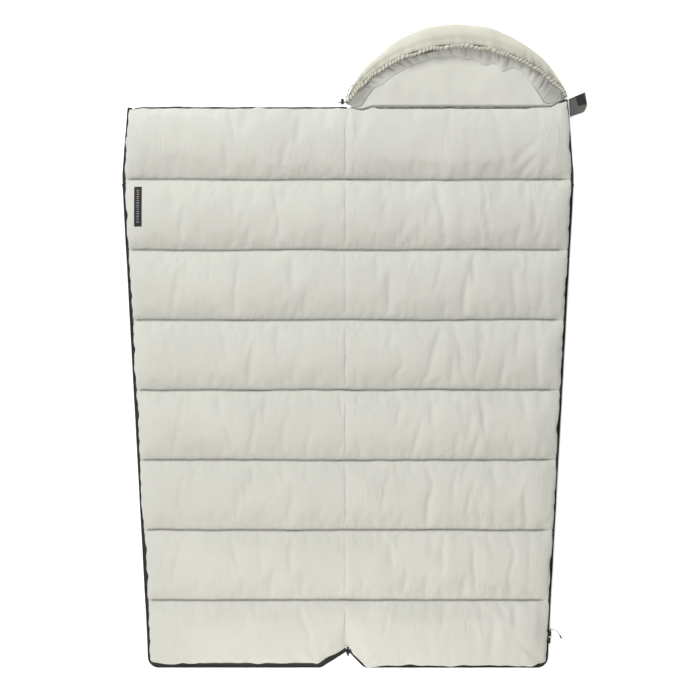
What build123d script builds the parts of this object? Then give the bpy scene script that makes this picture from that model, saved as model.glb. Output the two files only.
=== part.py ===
"""Hooded camp quilt: a rectangular sleeping bag unzipped all round and laid out flat.

Units are millimetres. +X runs towards the back half, which carries the hood, +Y towards the head and
+Z up. The origin is on the fold line, halfway down the bag, at the level that the bag rests on.
Each sub-part is written to parts/NODE.step.
"""

import os
from math import atan, degrees, hypot, radians, sin, cos, sqrt, tan

from build123d import *

# ---- driving dimensions ---------------------------------------------------------------------------
HALF_LENGTH = 950.0  # the bag is 1.9 m long without its hood
BAFFLES = 8  # quilted channels down the length
LOFT = 34.0  # height of a filled channel
FABRIC = 1.0  # thickness that stands for shell or lining cloth
FOLD_GAP = 1.0  # from the fold line to each half's inner wall
FOLD_LOW, FOLD_HIGH = -860.0, 940.0  # the length of the fold line itself
SEAM_GAP = 4.0  # width of the flat stitched line between two channels
PILLOW_EDGE = 20.0  # rounding along the top of a channel
BINDING = 4.0  # width of the tape that closes the head edge

# outer edge of the zip tape on the +X side, from the head down to the notch at the foot of the fold
HEAD_CORNER = (748.0, HALF_LENGTH)
SHOULDER = (766.0, 712.5)  # level with the first stitched line
ZIP_END = (680.0, -860.0)
FOOT_CORNER = (677.0, -HALF_LENGTH)
FOOT_CORNER_RADIUS = 45.0
NOTCH_MOUTH = (60.0, -HALF_LENGTH)
NOTCH_MOUTH_RADIUS = 30.0
NOTCH_TOP = (0.0, -892.0)

# zip
TAPE_WIDTH = 15.0
TAPE_LOW, TAPE_HIGH = 4.0, 5.0
CHAIN_INSIDE, CHAIN_OUTSIDE = 3.2, 0.8  # how far the coil reaches each side of the tape's edge
CHAIN_HIGH = 7.4
SLIDER_LENGTH, SLIDER_WIDTH = 18.0, 12.4
SLIDER_AWAY = 1.6  # from the tape's edge to the slider's centre plane
SLIDER_PARK = 25.0  # from the end of the side zip to the parked slider
STOP_AT = 1545.0  # along the side zip, where its top stop sits

# neck line of the back half: level, then rising to the collar corner
NECK_BEND = (688.0, HALF_LENGTH)
COLLAR_CORNER = (746.0, 982.0)

# hood
HOOD_MIDDLE = (369.0, 977.0)
HOOD_TURN = 1.6  # degrees that the mouth of the hood is turned from the neck line
HOOD_HALF = 375.0
HOOD_RISE = 250.0
HOOD_DOME = 62.0  # height that the rim would reach if it closed over the neck
HOOD_MOUTH_LEVEL = 8.0
HEM_TILT = 13.0  # degrees that the hem leans up from the floor
RIM_THICKNESS = 12.0
PANEL_HALF = 336.0
PANEL_INSET = 13.0
HOOD_BACK_THICKNESS = 10.0
HOOD_GAP = 4.0  # from the neck line to the hood, where the seam turns
CASING_RADIUS, CASING_BORE = 5.0, 3.6
CORD_RADIUS = 1.25

# collar tab
TAB_FOOT = 918.0  # where the tab starts along the side edge
TAB_CLEAR = 2.5  # from the tape to the tab, room for its fold
TAB_LOW, TAB_HIGH = 3.0, 5.4
HOOK_HIGH = 7.2


def prism(face, low, high):
    """A flat face made solid between two heights."""
    return Pos(0, 0, low) * extrude(face, high - low, dir=(0, 0, 1))


def polygon(*points):
    return make_face(Polyline(*points, close=True))


def to_front(shape):
    """The same shape on the front half, across the fold line."""
    return mirror(shape, about=Plane.YZ)


def save(shape, name):
    export_step(shape if isinstance(shape, Compound) else Compound(shape.solids()), f"parts/{name}.step")


def along_side(distance, outward=0.0):
    """A point on the back half's side zip, that far from its lower end and outside the tape's edge."""
    ux, uy = SIDE_WAY
    return ZIP_END[0] + ux * distance + uy * outward, ZIP_END[1] + uy * distance - ux * outward


SIDE_LENGTH = hypot(SHOULDER[0] - ZIP_END[0], SHOULDER[1] - ZIP_END[1])
SIDE_WAY = (
    (SHOULDER[0] - ZIP_END[0]) / SIDE_LENGTH,
    (SHOULDER[1] - ZIP_END[1]) / SIDE_LENGTH,
)
EDGE_LENGTH = hypot(HEAD_CORNER[0] - SHOULDER[0], HEAD_CORNER[1] - SHOULDER[1])
EDGE_WAY = (
    (HEAD_CORNER[0] - SHOULDER[0]) / EDGE_LENGTH,
    (HEAD_CORNER[1] - SHOULDER[1]) / EDGE_LENGTH,
)


# ---- outlines in plan -----------------------------------------------------------------------------
def whole_outline():
    """Both halves to the outer edge of the zip tape, carried past the head to be trimmed there."""
    past = 60.0
    top = (HEAD_CORNER[0] + EDGE_WAY[0] * past, HEAD_CORNER[1] + EDGE_WAY[1] * past)
    right = [top, SHOULDER, ZIP_END, FOOT_CORNER, NOTCH_MOUTH]
    left = [(-x, y) for x, y in reversed(right)]
    face = polygon(*right, NOTCH_TOP, *left)
    corners = face.vertices().filter_by(lambda v: v.Y < ZIP_END[1] - 1)
    outer = [v for v in corners if abs(v.X) > 500]
    mouth = [v for v in corners if 1 < abs(v.X) < 500]
    face = fillet(outer, FOOT_CORNER_RADIUS)
    mouth = [v for v in face.vertices() if abs(abs(v.X) - NOTCH_MOUTH[0]) < 1 and v.Y < NOTCH_TOP[1]]
    return fillet(mouth, NOTCH_MOUTH_RADIUS)


def below_neck(drop=0.0, bend=True):
    """Everything on the foot side of the head edge, for the back half with the rise at its collar."""
    far = 900.0
    reach = far - COLLAR_CORNER[0]
    slope = (COLLAR_CORNER[1] - NECK_BEND[1]) / (COLLAR_CORNER[0] - NECK_BEND[0])
    rise = [NECK_BEND, (far, COLLAR_CORNER[1] + slope * reach)] if bend else [(far, HALF_LENGTH)]
    top = [(FOLD_GAP, HALF_LENGTH), *rise]
    return polygon((FOLD_GAP, -far * 2), *[(x, y - drop) for x, y in top], (far, -far * 2))


OUTLINE = whole_outline()
WALL = offset(OUTLINE, -TAPE_WIDTH)


def padded_outline(bend):
    return WALL & below_neck(BINDING, bend)


def channel_outline(number, bend, inset=0.0):
    """The plan of one filled channel, counted from the head."""
    pitch = 2 * HALF_LENGTH / BAFFLES
    high = 1100.0 if number == 1 else HALF_LENGTH - pitch * (number - 1) - SEAM_GAP / 2
    low = -1000.0 if number == BAFFLES else HALF_LENGTH - pitch * number + SEAM_GAP / 2
    strip = Pos(450, (high + low) / 2) * Rectangle(900, high - low)
    face = (padded_outline(bend) & strip).faces()[0]
    return offset(face, -inset, kind=Kind.INTERSECTION) if inset else face


# ---- the padded halves ----------------------------------------------------------------------------
def pillow(face, low, high, edge):
    """A channel: upright walls, rounded over at the top."""
    block = prism(face, low, high)
    return fillet(block.faces().sort_by(Axis.Z)[-1].edges(), edge)


def batt(number, bend):
    """The fibre fill of one channel."""
    return pillow(channel_outline(number, bend, FABRIC), FABRIC, LOFT - FABRIC, PILLOW_EDGE - FABRIC)


def lining(bend, batts):
    """The upper cloth: it goes over every channel and down to the shell at each stitched line."""
    sheet = prism(padded_outline(bend), FABRIC, 2 * FABRIC)
    for number, fill in enumerate(batts, 1):
        sheet = sheet + pillow(channel_outline(number, bend), FABRIC, LOFT, PILLOW_EDGE)
    for fill in batts:
        sheet = sheet - fill
    return sheet


def shell(bend):
    """The lower cloth, which lies flat. The back half's own reaches over the fold line."""
    sheet = prism(padded_outline(bend), 0, FABRIC)
    return sheet + block(-0.5, 2.0, FOLD_LOW, FOLD_HIGH, 0, FABRIC) if bend else sheet


def head_binding(bend):
    """The folded tape along the head edge."""
    strip = (WALL & below_neck(0, bend)) - below_neck(BINDING, bend)
    return prism(strip, FABRIC, FABRIC + 4.0)


# ---- the zips ---------------------------------------------------------------------------------------
def edge_ring(inside, outside, low, high):
    """A band that follows the zip edge of the back half, from the head to the notch."""
    outer = offset(OUTLINE, outside) if outside else OUTLINE
    return prism((outer - offset(OUTLINE, -inside)) & below_neck(0, True), low, high)


def across(shape, at, above):
    """The part of a shape above or below a line Y = at."""
    span = 3000.0
    return shape & (Pos(0, at + (span / 2 if above else -span / 2), 0) * Box(span, span, 200))


def side_frame(distance):
    """X outward across the side zip, Y up along it, at the slider's centre plane."""
    x, y = along_side(distance, SLIDER_AWAY)
    return Plane(origin=(x, y, 0), x_dir=(SIDE_WAY[1], -SIDE_WAY[0], 0), z_dir=(0, 0, 1))


def block(x0, x1, y0, y1, z0, z1):
    return Pos((x0 + x1) / 2, (y0 + y1) / 2, (z0 + z1) / 2) * Box(x1 - x0, y1 - y0, z1 - z0)


def slider():
    """A zip slider about its own centre: two wings, flanges, a dividing post and the pull's bridge."""
    w, l = SLIDER_WIDTH / 2, SLIDER_LENGTH / 2
    body = block(-w, w, -l, l, 7.8, 9.0) + block(-w, w, -l, l, 2.2, 3.4)
    body = fillet(body.edges().filter_by(Axis.Z), 3.0)
    for side in (-1, 1):
        body += block(*sorted((side * (w - 1), side * w)), -l + 3, l - 3, 5.3, 7.8)
        body += block(*sorted((side * (w - 1), side * w)), -l + 3, l - 3, 3.4, 3.7)
    body += block(-0.5, 1.5, 4.5, l, 3.4, 7.8)
    bridge = fillet(block(-1.5, 1.5, -6, 6, 9.0, 12.5).edges().filter_by(Axis.X).sort_by(Axis.Z)[-2:], 2.0)
    return body + (bridge - block(-2, 2, -4, 4, 9.0, 11.3))


def pull_tab(length):
    """The pull: a bar through the slider's bridge, two arms, and a plate with a hole."""
    low, high = 9.6, 10.8
    tab = block(-4, 4, -0.6, 0.6, low, high)
    for side in (-1, 1):
        tab += block(*sorted((side * 2.5, side * 4)), -0.6, 9.0, low, high)
    plate = fillet(block(-4, 4, 8.0, length, low, high).edges().filter_by(Axis.Z).sort_by(Axis.Y)[-2:], 3.0)
    return tab + (plate - Pos(0, length - 4.5, (low + high) / 2) * Cylinder(1.6, 4))


PULL_LENGTH = 18.0
FOOT_SLIDER_Y = NOTCH_TOP[1] - 2.0
FOOT_FRAME = Plane(origin=(0, FOOT_SLIDER_Y, 0), x_dir=(-1, 0, 0), z_dir=(0, 0, 1))


def free_of_foot_slider(shape):
    """Leaves room round the foot slider, which is parked where the two foot tapes meet."""
    room = 0.5
    w, l = SLIDER_WIDTH / 2 + room, SLIDER_LENGTH / 2 + room
    return shape - block(-w, w, FOOT_SLIDER_Y - l, FOOT_SLIDER_Y + l, 0, 20)


def zip_parts():
    """Tapes, coils and stops of one half, drawn on the back half's side."""
    tape = edge_ring(TAPE_WIDTH, 0, TAPE_LOW, TAPE_HIGH)
    coil = edge_ring(CHAIN_INSIDE, CHAIN_OUTSIDE, TAPE_HIGH, CHAIN_HIGH)
    start, stop = along_side(14.0)[1], along_side(STOP_AT)[1]
    return {
        "side_tape": across(tape, ZIP_END[1], True),
        "foot_tape": free_of_foot_slider(across(tape, ZIP_END[1], False)),
        "side_coil": across(across(coil, start, True), stop, False),
        "foot_coil": free_of_foot_slider(across(coil, along_side(-10.0)[1], False)),
        "top_stop": across(across(edge_ring(4.2, 1.8, 3.0, 8.2), stop, True), stop + 7.0, False) - tape,
    }


# ---- the hood ---------------------------------------------------------------------------------------
HOOD = Plane(
    origin=(*HOOD_MIDDLE, HOOD_MOUTH_LEVEL),
    x_dir=(cos(radians(HOOD_TURN)), sin(radians(HOOD_TURN)), 0),
    z_dir=(0, 0, 1),
)
HOOD_FLAT = Plane(origin=(*HOOD_MIDDLE, 0), x_dir=HOOD.x_dir, z_dir=(0, 0, 1))
HEM = HOOD.rotated((HEM_TILT, 0, 0))


def bow(half, rise):
    """Flat area between a chord and its arc, the chord along X."""
    arc = ThreePointArc((-half, 0), (0, rise), (half, 0))
    return make_face([arc.edge(), Line((half, 0), (-half, 0)).edge()])


def hood_dome(inset, lean=None):
    """The hood's bulge, that far inside its outer face, from the floor up to the leaning hem."""
    squash = (HOOD_DOME - inset) / (HOOD_RISE - inset)
    angle = lean or degrees(atan(tan(radians(HEM_TILT)) / squash))
    solid = revolve(bow(HOOD_HALF - inset, HOOD_RISE - inset), Axis.X, angle)
    return scale(solid, by=(1, 1, squash))


def rim_layer(outer, inner):
    """One layer of the hood's rolled rim: its dome, and a skirt from there down to the floor cloth."""
    dome = hood_dome(outer) - hood_dome(inner, 75.0)
    skirt = prism(
        bow(HOOD_HALF - outer, HOOD_RISE - outer) - bow(HOOD_HALF - inner, HOOD_RISE - inner),
        FABRIC - HOOD_MOUTH_LEVEL,
        0,
    )
    tip = HOOD_HALF - 10.0
    layer = (dome + skirt) & block(-tip, tip, 0, 400, -20, 100)
    return (HOOD * layer - hem_tube(CASING_RADIUS)).solids().sort_by(SortBy.VOLUME)[-1]


def hem_arc():
    """The line down the middle of the hem, on the leaning hem plane."""
    outer = HOOD_RISE * hypot(*hem_share())
    rise = outer - RIM_THICKNESS / 2
    return HEM * ThreePointArc((-HOOD_HALF, 0), (0, rise), (HOOD_HALF, 0))


def hem_share():
    """How far out and how high the hem is, as shares of the hood's rise."""
    squash = HOOD_DOME / HOOD_RISE
    angle = atan(tan(radians(HEM_TILT)) / squash)
    return cos(angle), squash * sin(angle)


HEM_LINE = hem_arc()
HEM_END = HEM_LINE @ 0
EXIT_WAY = Vector(-1, 0, 0)  # the cord turns in the eyelet and leaves level


def hem_tube(radius):
    start = Plane(origin=HEM_LINE @ 0, z_dir=HEM_LINE % 0)
    return sweep(start * Circle(radius), path=HEM_LINE)


def drawcord():
    """The cord inside the hem and the straight end that comes out at the left."""
    inside = 1.0
    out = Plane(origin=HEM_END - EXIT_WAY * inside, z_dir=EXIT_WAY)
    straight = out * Pos(0, 0, STUB_LENGTH / 2) * Cylinder(CORD_RADIUS, STUB_LENGTH)
    return hem_tube(CORD_RADIUS) + straight


def hood_plan(inset, half):
    """The hood's floor plan, from the neck seam to its bowed edge."""
    low, high = HALF_LENGTH + HOOD_GAP, HOOD_MIDDLE[1] + 4.0
    left, right = HOOD_MIDDLE[0] - half, HOOD_MIDDLE[0] + half
    band = Pos((left + right) / 2, (low + high) / 2) * Rectangle(right - left, high - low)
    bowed = HOOD_FLAT * (bow(HOOD_HALF - inset, HOOD_RISE - inset) & Rectangle(2 * half, 1000))
    return (band + bowed) - below_neck(-HOOD_GAP, True)


# ---- the cord lock at the hood's left end ----------------------------------------------------------
LOCK_CENTRE = HEM_END + EXIT_WAY * 13.0
LOCK = Plane(origin=LOCK_CENTRE, x_dir=EXIT_WAY, z_dir=(0, 0, 1))
LOCK_RADIUS, LOCK_WALL = 5.2, 1.1
PLUNGER_RADIUS = 3.9
STUB_LENGTH = 26.0  # drawcord past the end of the hem
LOCK_AXIS = LOCK * Rot(-90, 0, 0)  # its button is on the far side from the quilt


def lock_cross_hole():
    return LOCK * Rot(0, 90, 0) * Cylinder(CORD_RADIUS + 0.35, 20)


def lock_barrel():
    """A cup, open at its far end, with a hole across it for the cord."""
    cup = Cylinder(LOCK_RADIUS, 12.0) - Pos(0, 0, -LOCK_WALL) * Cylinder(LOCK_RADIUS - LOCK_WALL, 12.0)
    return LOCK_AXIS * cup - lock_cross_hole()


def lock_plunger():
    """The button: its stem has a slot that the cord passes through while it travels."""
    stem = Pos(0, 0, -4.0) * Cylinder(PLUNGER_RADIUS, 12.0)
    cap = Pos(0, 0, -11.2) * Cylinder(LOCK_RADIUS, 2.4)
    slot = block(-10, 10, -1.9, 1.9, -4.2, 6.5)
    return LOCK_AXIS * (stem + cap - slot)


def lock_spring():
    """The coil spring between the cup's floor and the stem, as its envelope."""
    return LOCK_AXIS * Pos(0, 0, 3.4) * (Cylinder(3.0, 2.6) - Cylinder(2.2, 2.6))


# ---- free cords ------------------------------------------------------------------------------------
PULL_CORD_RADIUS = 1.0
PULL_CORD_ROUTE = [
    (688.2, -821.4, 11.2),
    (693.7, -820.6, 10.8),
    (701.2, -821.4, 7.0),
    (708.5, -826.0, 3.0),
    (714.0, -833.0, 1.6),
    (718.0, -840.0, 1.6),
]
TAIL_RADIUS = 1.0
TAIL_ROUTE = [
    (-6.6, 985.4, 4.6),
    (-3.0, 989.0, 3.2),
    (-0.8, 994.2, 1.8),
    (-0.4, 1001.0, 1.2),
    (1.6, 1009.0, 1.2),
    (5.4, 1016.6, 1.2),
    (11.0, 1022.8, 1.2),
    (18.4, 1027.2, 1.2),
]


def corner_radii(route):
    """The largest tangent arc that each corner's two runs allow."""
    radii = []
    for a, b, c in zip(route, route[1:], route[2:]):
        before, after = Vector(*b) - Vector(*a), Vector(*c) - Vector(*b)
        half_turn = radians(before.get_angle(after)) / 2
        radii.append(0.45 * min(before.length, after.length) / tan(half_turn))
    return radii


def cord(route, radius, name):
    """A round cord along straight runs joined by arcs, with its radii and volume printed."""
    radii = corner_radii(route)
    line = FilletPolyline(*route, radius=radii)
    tube = sweep(Plane(origin=line @ 0, z_dir=line % 0) * Circle(radius), path=line)
    share = tube.volume / (3.14159265 * radius**2 * line.length)
    print(name, "length", round(line.length, 1), "radii", [round(r, 1) for r in radii], "volume share", round(share, 3))
    return tube


# ---- build everything ------------------------------------------------------------------------------
def padded_half(name, bend, place):
    """Shell, fill and lining of one half."""
    batts = [batt(number, bend) for number in range(1, BAFFLES + 1)]
    save(place(shell(bend)) if name == "back" else place(shell(bend)) - loop_patch(), f"shell_{name}")
    save(place(lining(bend, batts)), f"lining_{name}")
    for number, fill in enumerate(batts, 1):
        save(place(fill), f"batt_{name}_{number}")


def loop_patch():
    """The soft half of the collar's hook-and-loop closure, let into the front shell's outer face."""
    return block(-722, -686, 896, 932, 0, 0.6)


def same(shape):
    return shape


def build_halves():
    padded_half("back", True, same)
    padded_half("front", False, to_front)
    save(head_binding(True), "neck_seam_binding")
    save(to_front(head_binding(False)), "head_binding_front")
    save(loop_patch(), "tab_loop_patch")
    save(block(-724, -698, 545, 680, LOFT, LOFT + 0.8), "side_label")


def build_zips():
    made = zip_parts()
    box = side_frame(0) * fillet(block(-7.5, 5.0, -8, 12, 2.6, 8.6).edges().filter_by(Axis.Z), 2.0)
    save(box - edge_ring(TAPE_WIDTH, 0, TAPE_LOW, TAPE_HIGH) - made["foot_coil"], "side_zip_box")
    pin = side_frame(0) * block(-5.0, -0.9, -8, 13.6, TAPE_HIGH, 8.0)
    save(to_front(pin - made["foot_coil"]), "side_zip_pin")
    for name, place in (("back", same), ("front", to_front)):
        tape = made["side_tape"] if name == "back" else across(made["side_tape"], HALF_LENGTH, False)
        save(place(tape), f"side_tape_{name}")
        save(place(made["foot_tape"]), f"foot_tape_{name}")
        save(place(made["side_coil"]), f"side_coil_{name}")
        save(place(made["foot_coil"]), f"foot_coil_{name}")
        save(place(made["top_stop"]), f"side_top_stop_{name}")
    save(side_frame(SLIDER_PARK) * slider(), "side_slider_body")
    save(side_frame(SLIDER_PARK) * pull_tab(PULL_LENGTH), "side_pull_tab")
    save(FOOT_FRAME * slider(), "foot_slider_body")
    save(FOOT_FRAME * pull_tab(PULL_LENGTH), "foot_pull_tab")
    stop_y = FOOT_SLIDER_Y + SLIDER_LENGTH / 2 + 1.0
    save(block(-4, 4, stop_y, stop_y + 5.0, TAPE_HIGH, 8.0), "foot_zip_end_stop")


def build_hood():
    save(prism(hood_plan(0, HOOD_HALF - 18.0), 0, FABRIC), "hood_back_shell")
    panel = hood_plan(PANEL_INSET, PANEL_HALF)
    save(prism(panel, FABRIC, HOOD_BACK_THICKNESS - FABRIC), "hood_back_batt")
    save(prism(panel, HOOD_BACK_THICKNESS - FABRIC, HOOD_BACK_THICKNESS), "hood_back_lining")
    save(rim_layer(0, FABRIC), "hood_rim_shell")
    save(rim_layer(FABRIC, RIM_THICKNESS - FABRIC), "hood_rim_batt")
    save(rim_layer(RIM_THICKNESS - FABRIC, RIM_THICKNESS), "hood_rim_lining")
    save(hem_tube(CASING_RADIUS) - hem_tube(CASING_BORE), "hood_hem_casing")
    eyelet = Plane(origin=HEM_END, z_dir=-(HEM_LINE % 0)) * Pos(0, 0, 0.6)
    ring = eyelet * (Cylinder(4.2, 1.2) - Cylinder(2.8, 1.2))
    save(ring - drawcord(), "hood_cord_eyelet")
    save(drawcord(), "hood_drawcord")


def build_cord_lock():
    save(lock_barrel(), "cord_lock_barrel")
    save(lock_plunger(), "cord_lock_plunger")
    save(lock_spring(), "cord_lock_spring")
    tail = cord(TAIL_ROUTE, TAIL_RADIUS, "drawcord_tail")
    save(tail, "drawcord_tail")
    save(Pos(19.6, 1027.9, 2.1) * Sphere(2.1) - tail, "drawcord_tail_knot")
    stub_end = HEM_END + EXIT_WAY * (STUB_LENGTH - 1.0)
    knots = Pos(-6.8, 984.8, 4.6) * Sphere(2.4) + Pos(*stub_end) * Sphere(2.4)
    save(knots - tail - drawcord(), "drawcord_knots")


def build_pull_cord():
    line = cord(PULL_CORD_ROUTE, PULL_CORD_RADIUS, "side_pull_cord")
    save(line, "side_pull_cord")
    last, end = Vector(*PULL_CORD_ROUTE[-2]), Vector(*PULL_CORD_ROUTE[-1])
    grip = Plane(origin=end, x_dir=end - last, z_dir=(0, 0, 1)) * Pos(7.0, 0, 0.4)
    save(grip * fillet(Box(14, 5, 3.6).edges(), 1.2), "side_pull_grip")


def build_collar_tab():
    edge = TAB_FOOT - SHOULDER[1]
    foot = (SHOULDER[0] + EDGE_WAY[0] * edge / EDGE_WAY[1], TAB_FOOT)
    frame = Plane(origin=(*foot, 0), x_dir=(EDGE_WAY[1], -EDGE_WAY[0], 0), z_dir=(0, 0, 1))
    outline = polygon((TAB_CLEAR, 0), (52, 12), (64, 36), (60, 80), (TAB_CLEAR, 60))
    outer = outline.vertices().filter_by(lambda v: v.X > 50 and v.Y < 40)
    outline = fillet(outer, 18.0)
    save(frame * prism(outline, TAB_LOW, TAB_HIGH), "collar_tab_webbing")
    patch = Pos(44, 54) * Rot(0, 0, 12) * Rectangle(30, 34)
    save(frame * prism(patch, TAB_HIGH, HOOK_HIGH), "collar_tab_hook_patch")


os.makedirs("parts", exist_ok=True)
build_halves()
build_zips()
build_hood()
build_cord_lock()
build_pull_cord()
build_collar_tab()
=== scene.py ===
"""Hooded camp quilt: a rectangular sleeping bag unzipped all round, laid out lining side up.

Lengths are metres in the shared frame: +X towards the half that carries the hood, +Y towards the
head, +Z up, with the origin on the fold line halfway down the bag.
"""

import math

import bmesh
import bpy
import numpy as np
from bpy.props import FloatProperty, FloatVectorProperty, PointerProperty
from bpy.types import Operator, Panel, PropertyGroup
from mathutils import Matrix, Vector
from mathutils.bvhtree import BVHTree
from mathutils.kdtree import KDTree


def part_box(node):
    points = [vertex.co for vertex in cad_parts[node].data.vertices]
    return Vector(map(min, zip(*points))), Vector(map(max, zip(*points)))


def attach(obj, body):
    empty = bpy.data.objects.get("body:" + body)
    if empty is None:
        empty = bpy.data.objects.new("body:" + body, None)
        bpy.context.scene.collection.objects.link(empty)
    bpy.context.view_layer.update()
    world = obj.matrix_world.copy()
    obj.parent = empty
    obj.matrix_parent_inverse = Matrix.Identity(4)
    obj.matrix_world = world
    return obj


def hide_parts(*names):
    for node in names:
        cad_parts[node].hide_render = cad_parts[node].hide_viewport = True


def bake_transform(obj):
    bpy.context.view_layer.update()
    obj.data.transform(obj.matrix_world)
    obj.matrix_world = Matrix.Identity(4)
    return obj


bl_info = {
    "name": "Hooded camp quilt",
    "version": (1, 0, 0),
    "blender": (4, 5, 0),
    "location": "3D View > Sidebar > Camp quilt",
    "description": "Builds an unzipped sleeping bag with its hood, zips and trims",
    "category": "Add Mesh",
}

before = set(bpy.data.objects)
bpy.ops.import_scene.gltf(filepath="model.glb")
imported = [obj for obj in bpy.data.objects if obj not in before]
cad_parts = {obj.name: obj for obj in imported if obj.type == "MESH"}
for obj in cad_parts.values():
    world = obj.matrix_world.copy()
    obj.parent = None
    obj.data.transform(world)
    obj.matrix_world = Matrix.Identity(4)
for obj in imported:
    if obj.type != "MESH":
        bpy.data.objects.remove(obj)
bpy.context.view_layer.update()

MM = 0.001

# ---- sizes shared with the hard parts ------------------------------------------------
HALF_LENGTH = 950 * MM
BAFFLES = 8
PITCH = 2 * HALF_LENGTH / BAFFLES
TAPE_LEVEL = 4.5 * MM
TAPE_WIDTH = 15 * MM
HEAD_CORNER = (748 * MM, HALF_LENGTH)
SHOULDER = (766 * MM, 712.5 * MM)
ZIP_END = (680 * MM, -860 * MM)
FOOT_CORNER = (677 * MM, -HALF_LENGTH)
FOOT_CORNER_RADIUS = 36 * MM
NOTCH_MOUTHS = {1: (54 * MM, -HALF_LENGTH), -1: (92 * MM, -HALF_LENGTH)}
NOTCH_MOUTH_RADIUS = 30 * MM
NOTCH_TOP = (0.0, -892 * MM)
NECK_BEND_X = 688 * MM
COLLAR_CORNER = (746 * MM, 982 * MM)
BINDING = 4 * MM

HOOD_MIDDLE = (369 * MM, 977 * MM)
HOOD_TURN = math.radians(1.6)
HOOD_HALF = 375 * MM
HOOD_RISE = 250 * MM
HOOD_DOME = 62 * MM
HOOD_MOUTH_LEVEL = 8 * MM
HEM_TILT = math.radians(13)
RIM_THICKNESS = 12 * MM

PULL_CORD_ROUTE = [
    (0.6882, -0.8214, 0.0112),
    (0.6937, -0.8206, 0.0108),
    (0.7012, -0.8214, 0.0070),
    (0.7085, -0.8260, 0.0030),
    (0.7140, -0.8330, 0.0016),
    (0.7180, -0.8400, 0.0016),
]
TAIL_ROUTE = [
    (-0.0066, 0.9854, 0.0046),
    (-0.0030, 0.9890, 0.0032),
    (-0.0008, 0.9942, 0.0018),
    (-0.0004, 1.0010, 0.0012),
    (0.0016, 1.0090, 0.0012),
    (0.0054, 1.0166, 0.0012),
    (0.0110, 1.0228, 0.0012),
    (0.0184, 1.0272, 0.0012),
]


# ---- settings a user would change ----------------------------------------------------
def colour_property(name, description, default):
    """A colour that the user can change."""
    return FloatVectorProperty(
        name=name, description=description, subtype="COLOR", size=3, min=0, max=1, default=default
    )


class QuiltSizes(PropertyGroup):
    """How full and how crumpled the quilt is."""

    loft: FloatProperty(
        name="Loft", description="Height of a filled channel", default=36 * MM, unit="LENGTH"
    )
    seam_level: FloatProperty(
        name="Seam level",
        description="Height of the stitched lines between channels",
        default=6 * MM,
        unit="LENGTH",
    )
    overhang: FloatProperty(
        name="Overhang",
        description="How far a channel bulges over the zip tape",
        default=8.5 * MM,
        unit="LENGTH",
    )
    crumple: FloatProperty(
        name="Crumple",
        description="Strength of the creases in the lining",
        default=1.0,
        min=0,
        max=2,
    )
    coil_pitch: FloatProperty(
        name="Coil pitch",
        description="From one zip tooth to the next",
        default=2.6 * MM,
        unit="LENGTH",
    )
    stitch_pitch: FloatProperty(
        name="Stitch pitch",
        description="From one quilting stitch to the next",
        default=4.5 * MM,
        unit="LENGTH",
    )


class QuiltColours(PropertyGroup):
    """Colours of the cloths and trims."""

    lining: colour_property("Lining", "Soft inner cloth", (0.530, 0.530, 0.482))
    shell: colour_property("Shell", "Outer cloth", (0.55, 0.545, 0.46))
    binding: colour_property("Binding", "Head and neck binding", (0.045, 0.045, 0.04))
    tape: colour_property("Zip tape", "Zip tape and coil", (0.022, 0.022, 0.020))
    webbing: colour_property("Webbing", "Collar tab", (0.10, 0.10, 0.093))
    label: colour_property("Label", "Woven label", (0.012, 0.012, 0.012))
    thread: colour_property("Thread", "Quilting thread", (0.22, 0.22, 0.18))
    cord: colour_property("Cord", "Drawcord and its tail", (0.045, 0.042, 0.038))


def sizes():
    """The sizes set in the sidebar."""
    return bpy.context.scene.quilt_sizes


def colours():
    """The colours set in the sidebar."""
    return bpy.context.scene.quilt_colours


# ---- small numeric helpers -----------------------------------------------------------
def smooth(value, low, high):
    """0 below low, 1 above high, with an even ease between."""
    t = np.clip((np.asarray(value, dtype=float) - low) / (high - low), 0, 1)
    return t * t * (3 - 2 * t)


def waves(x, y, seed, length, count=7, stretch=1.0):
    """Uneven smooth ripples of about that wavelength, longer along Y by stretch, about -1 to 1."""
    rng = np.random.default_rng(seed)
    total = np.zeros(np.broadcast(x, y).shape)
    for _ in range(count):
        turn = rng.uniform(0, math.pi)
        size = length * rng.uniform(0.65, 1.6)
        phase = rng.uniform(0, 2 * math.pi)
        total += np.sin(
            2 * math.pi * (x * math.cos(turn) + y * math.sin(turn) / stretch) / size + phase
        )
    return total / math.sqrt(count)


# ---- outlines in plan ----------------------------------------------------------------
WALL_Y = (-905 * MM, -860 * MM, 712.5 * MM, 975 * MM)
WALL_X = (664.2 * MM, 665 * MM, 750.7 * MM, 731 * MM)


def wall_x(y):
    """Half width of the padding at a given Y."""
    near = np.array((-44, -22, 0, 22, 44)) * MM
    return np.mean([np.interp(y + step, WALL_Y, WALL_X) for step in near], axis=0)


def foot_line(x):
    """Y of the padding's foot edge, with the notch in the middle and a round outer corner."""
    a = np.abs(x)
    flat = -HALF_LENGTH + TAPE_WIDTH
    notch = NOTCH_TOP[1] + TAPE_WIDTH
    mouth = np.where(x > 0, NOTCH_MOUTHS[1][0], NOTCH_MOUTHS[-1][0]) + 9 * MM
    into = notch + (flat - notch) * np.clip((a - 6 * MM) / (mouth - 6 * MM), 0, 1)
    radius = FOOT_CORNER_RADIUS - TAPE_WIDTH
    centre = WALL_X[0] - radius
    corner = flat + radius - np.sqrt(
        np.clip(radius**2 - np.clip(a - centre, 0, radius) ** 2, 0, None)
    )
    return np.maximum(into, corner)


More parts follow.
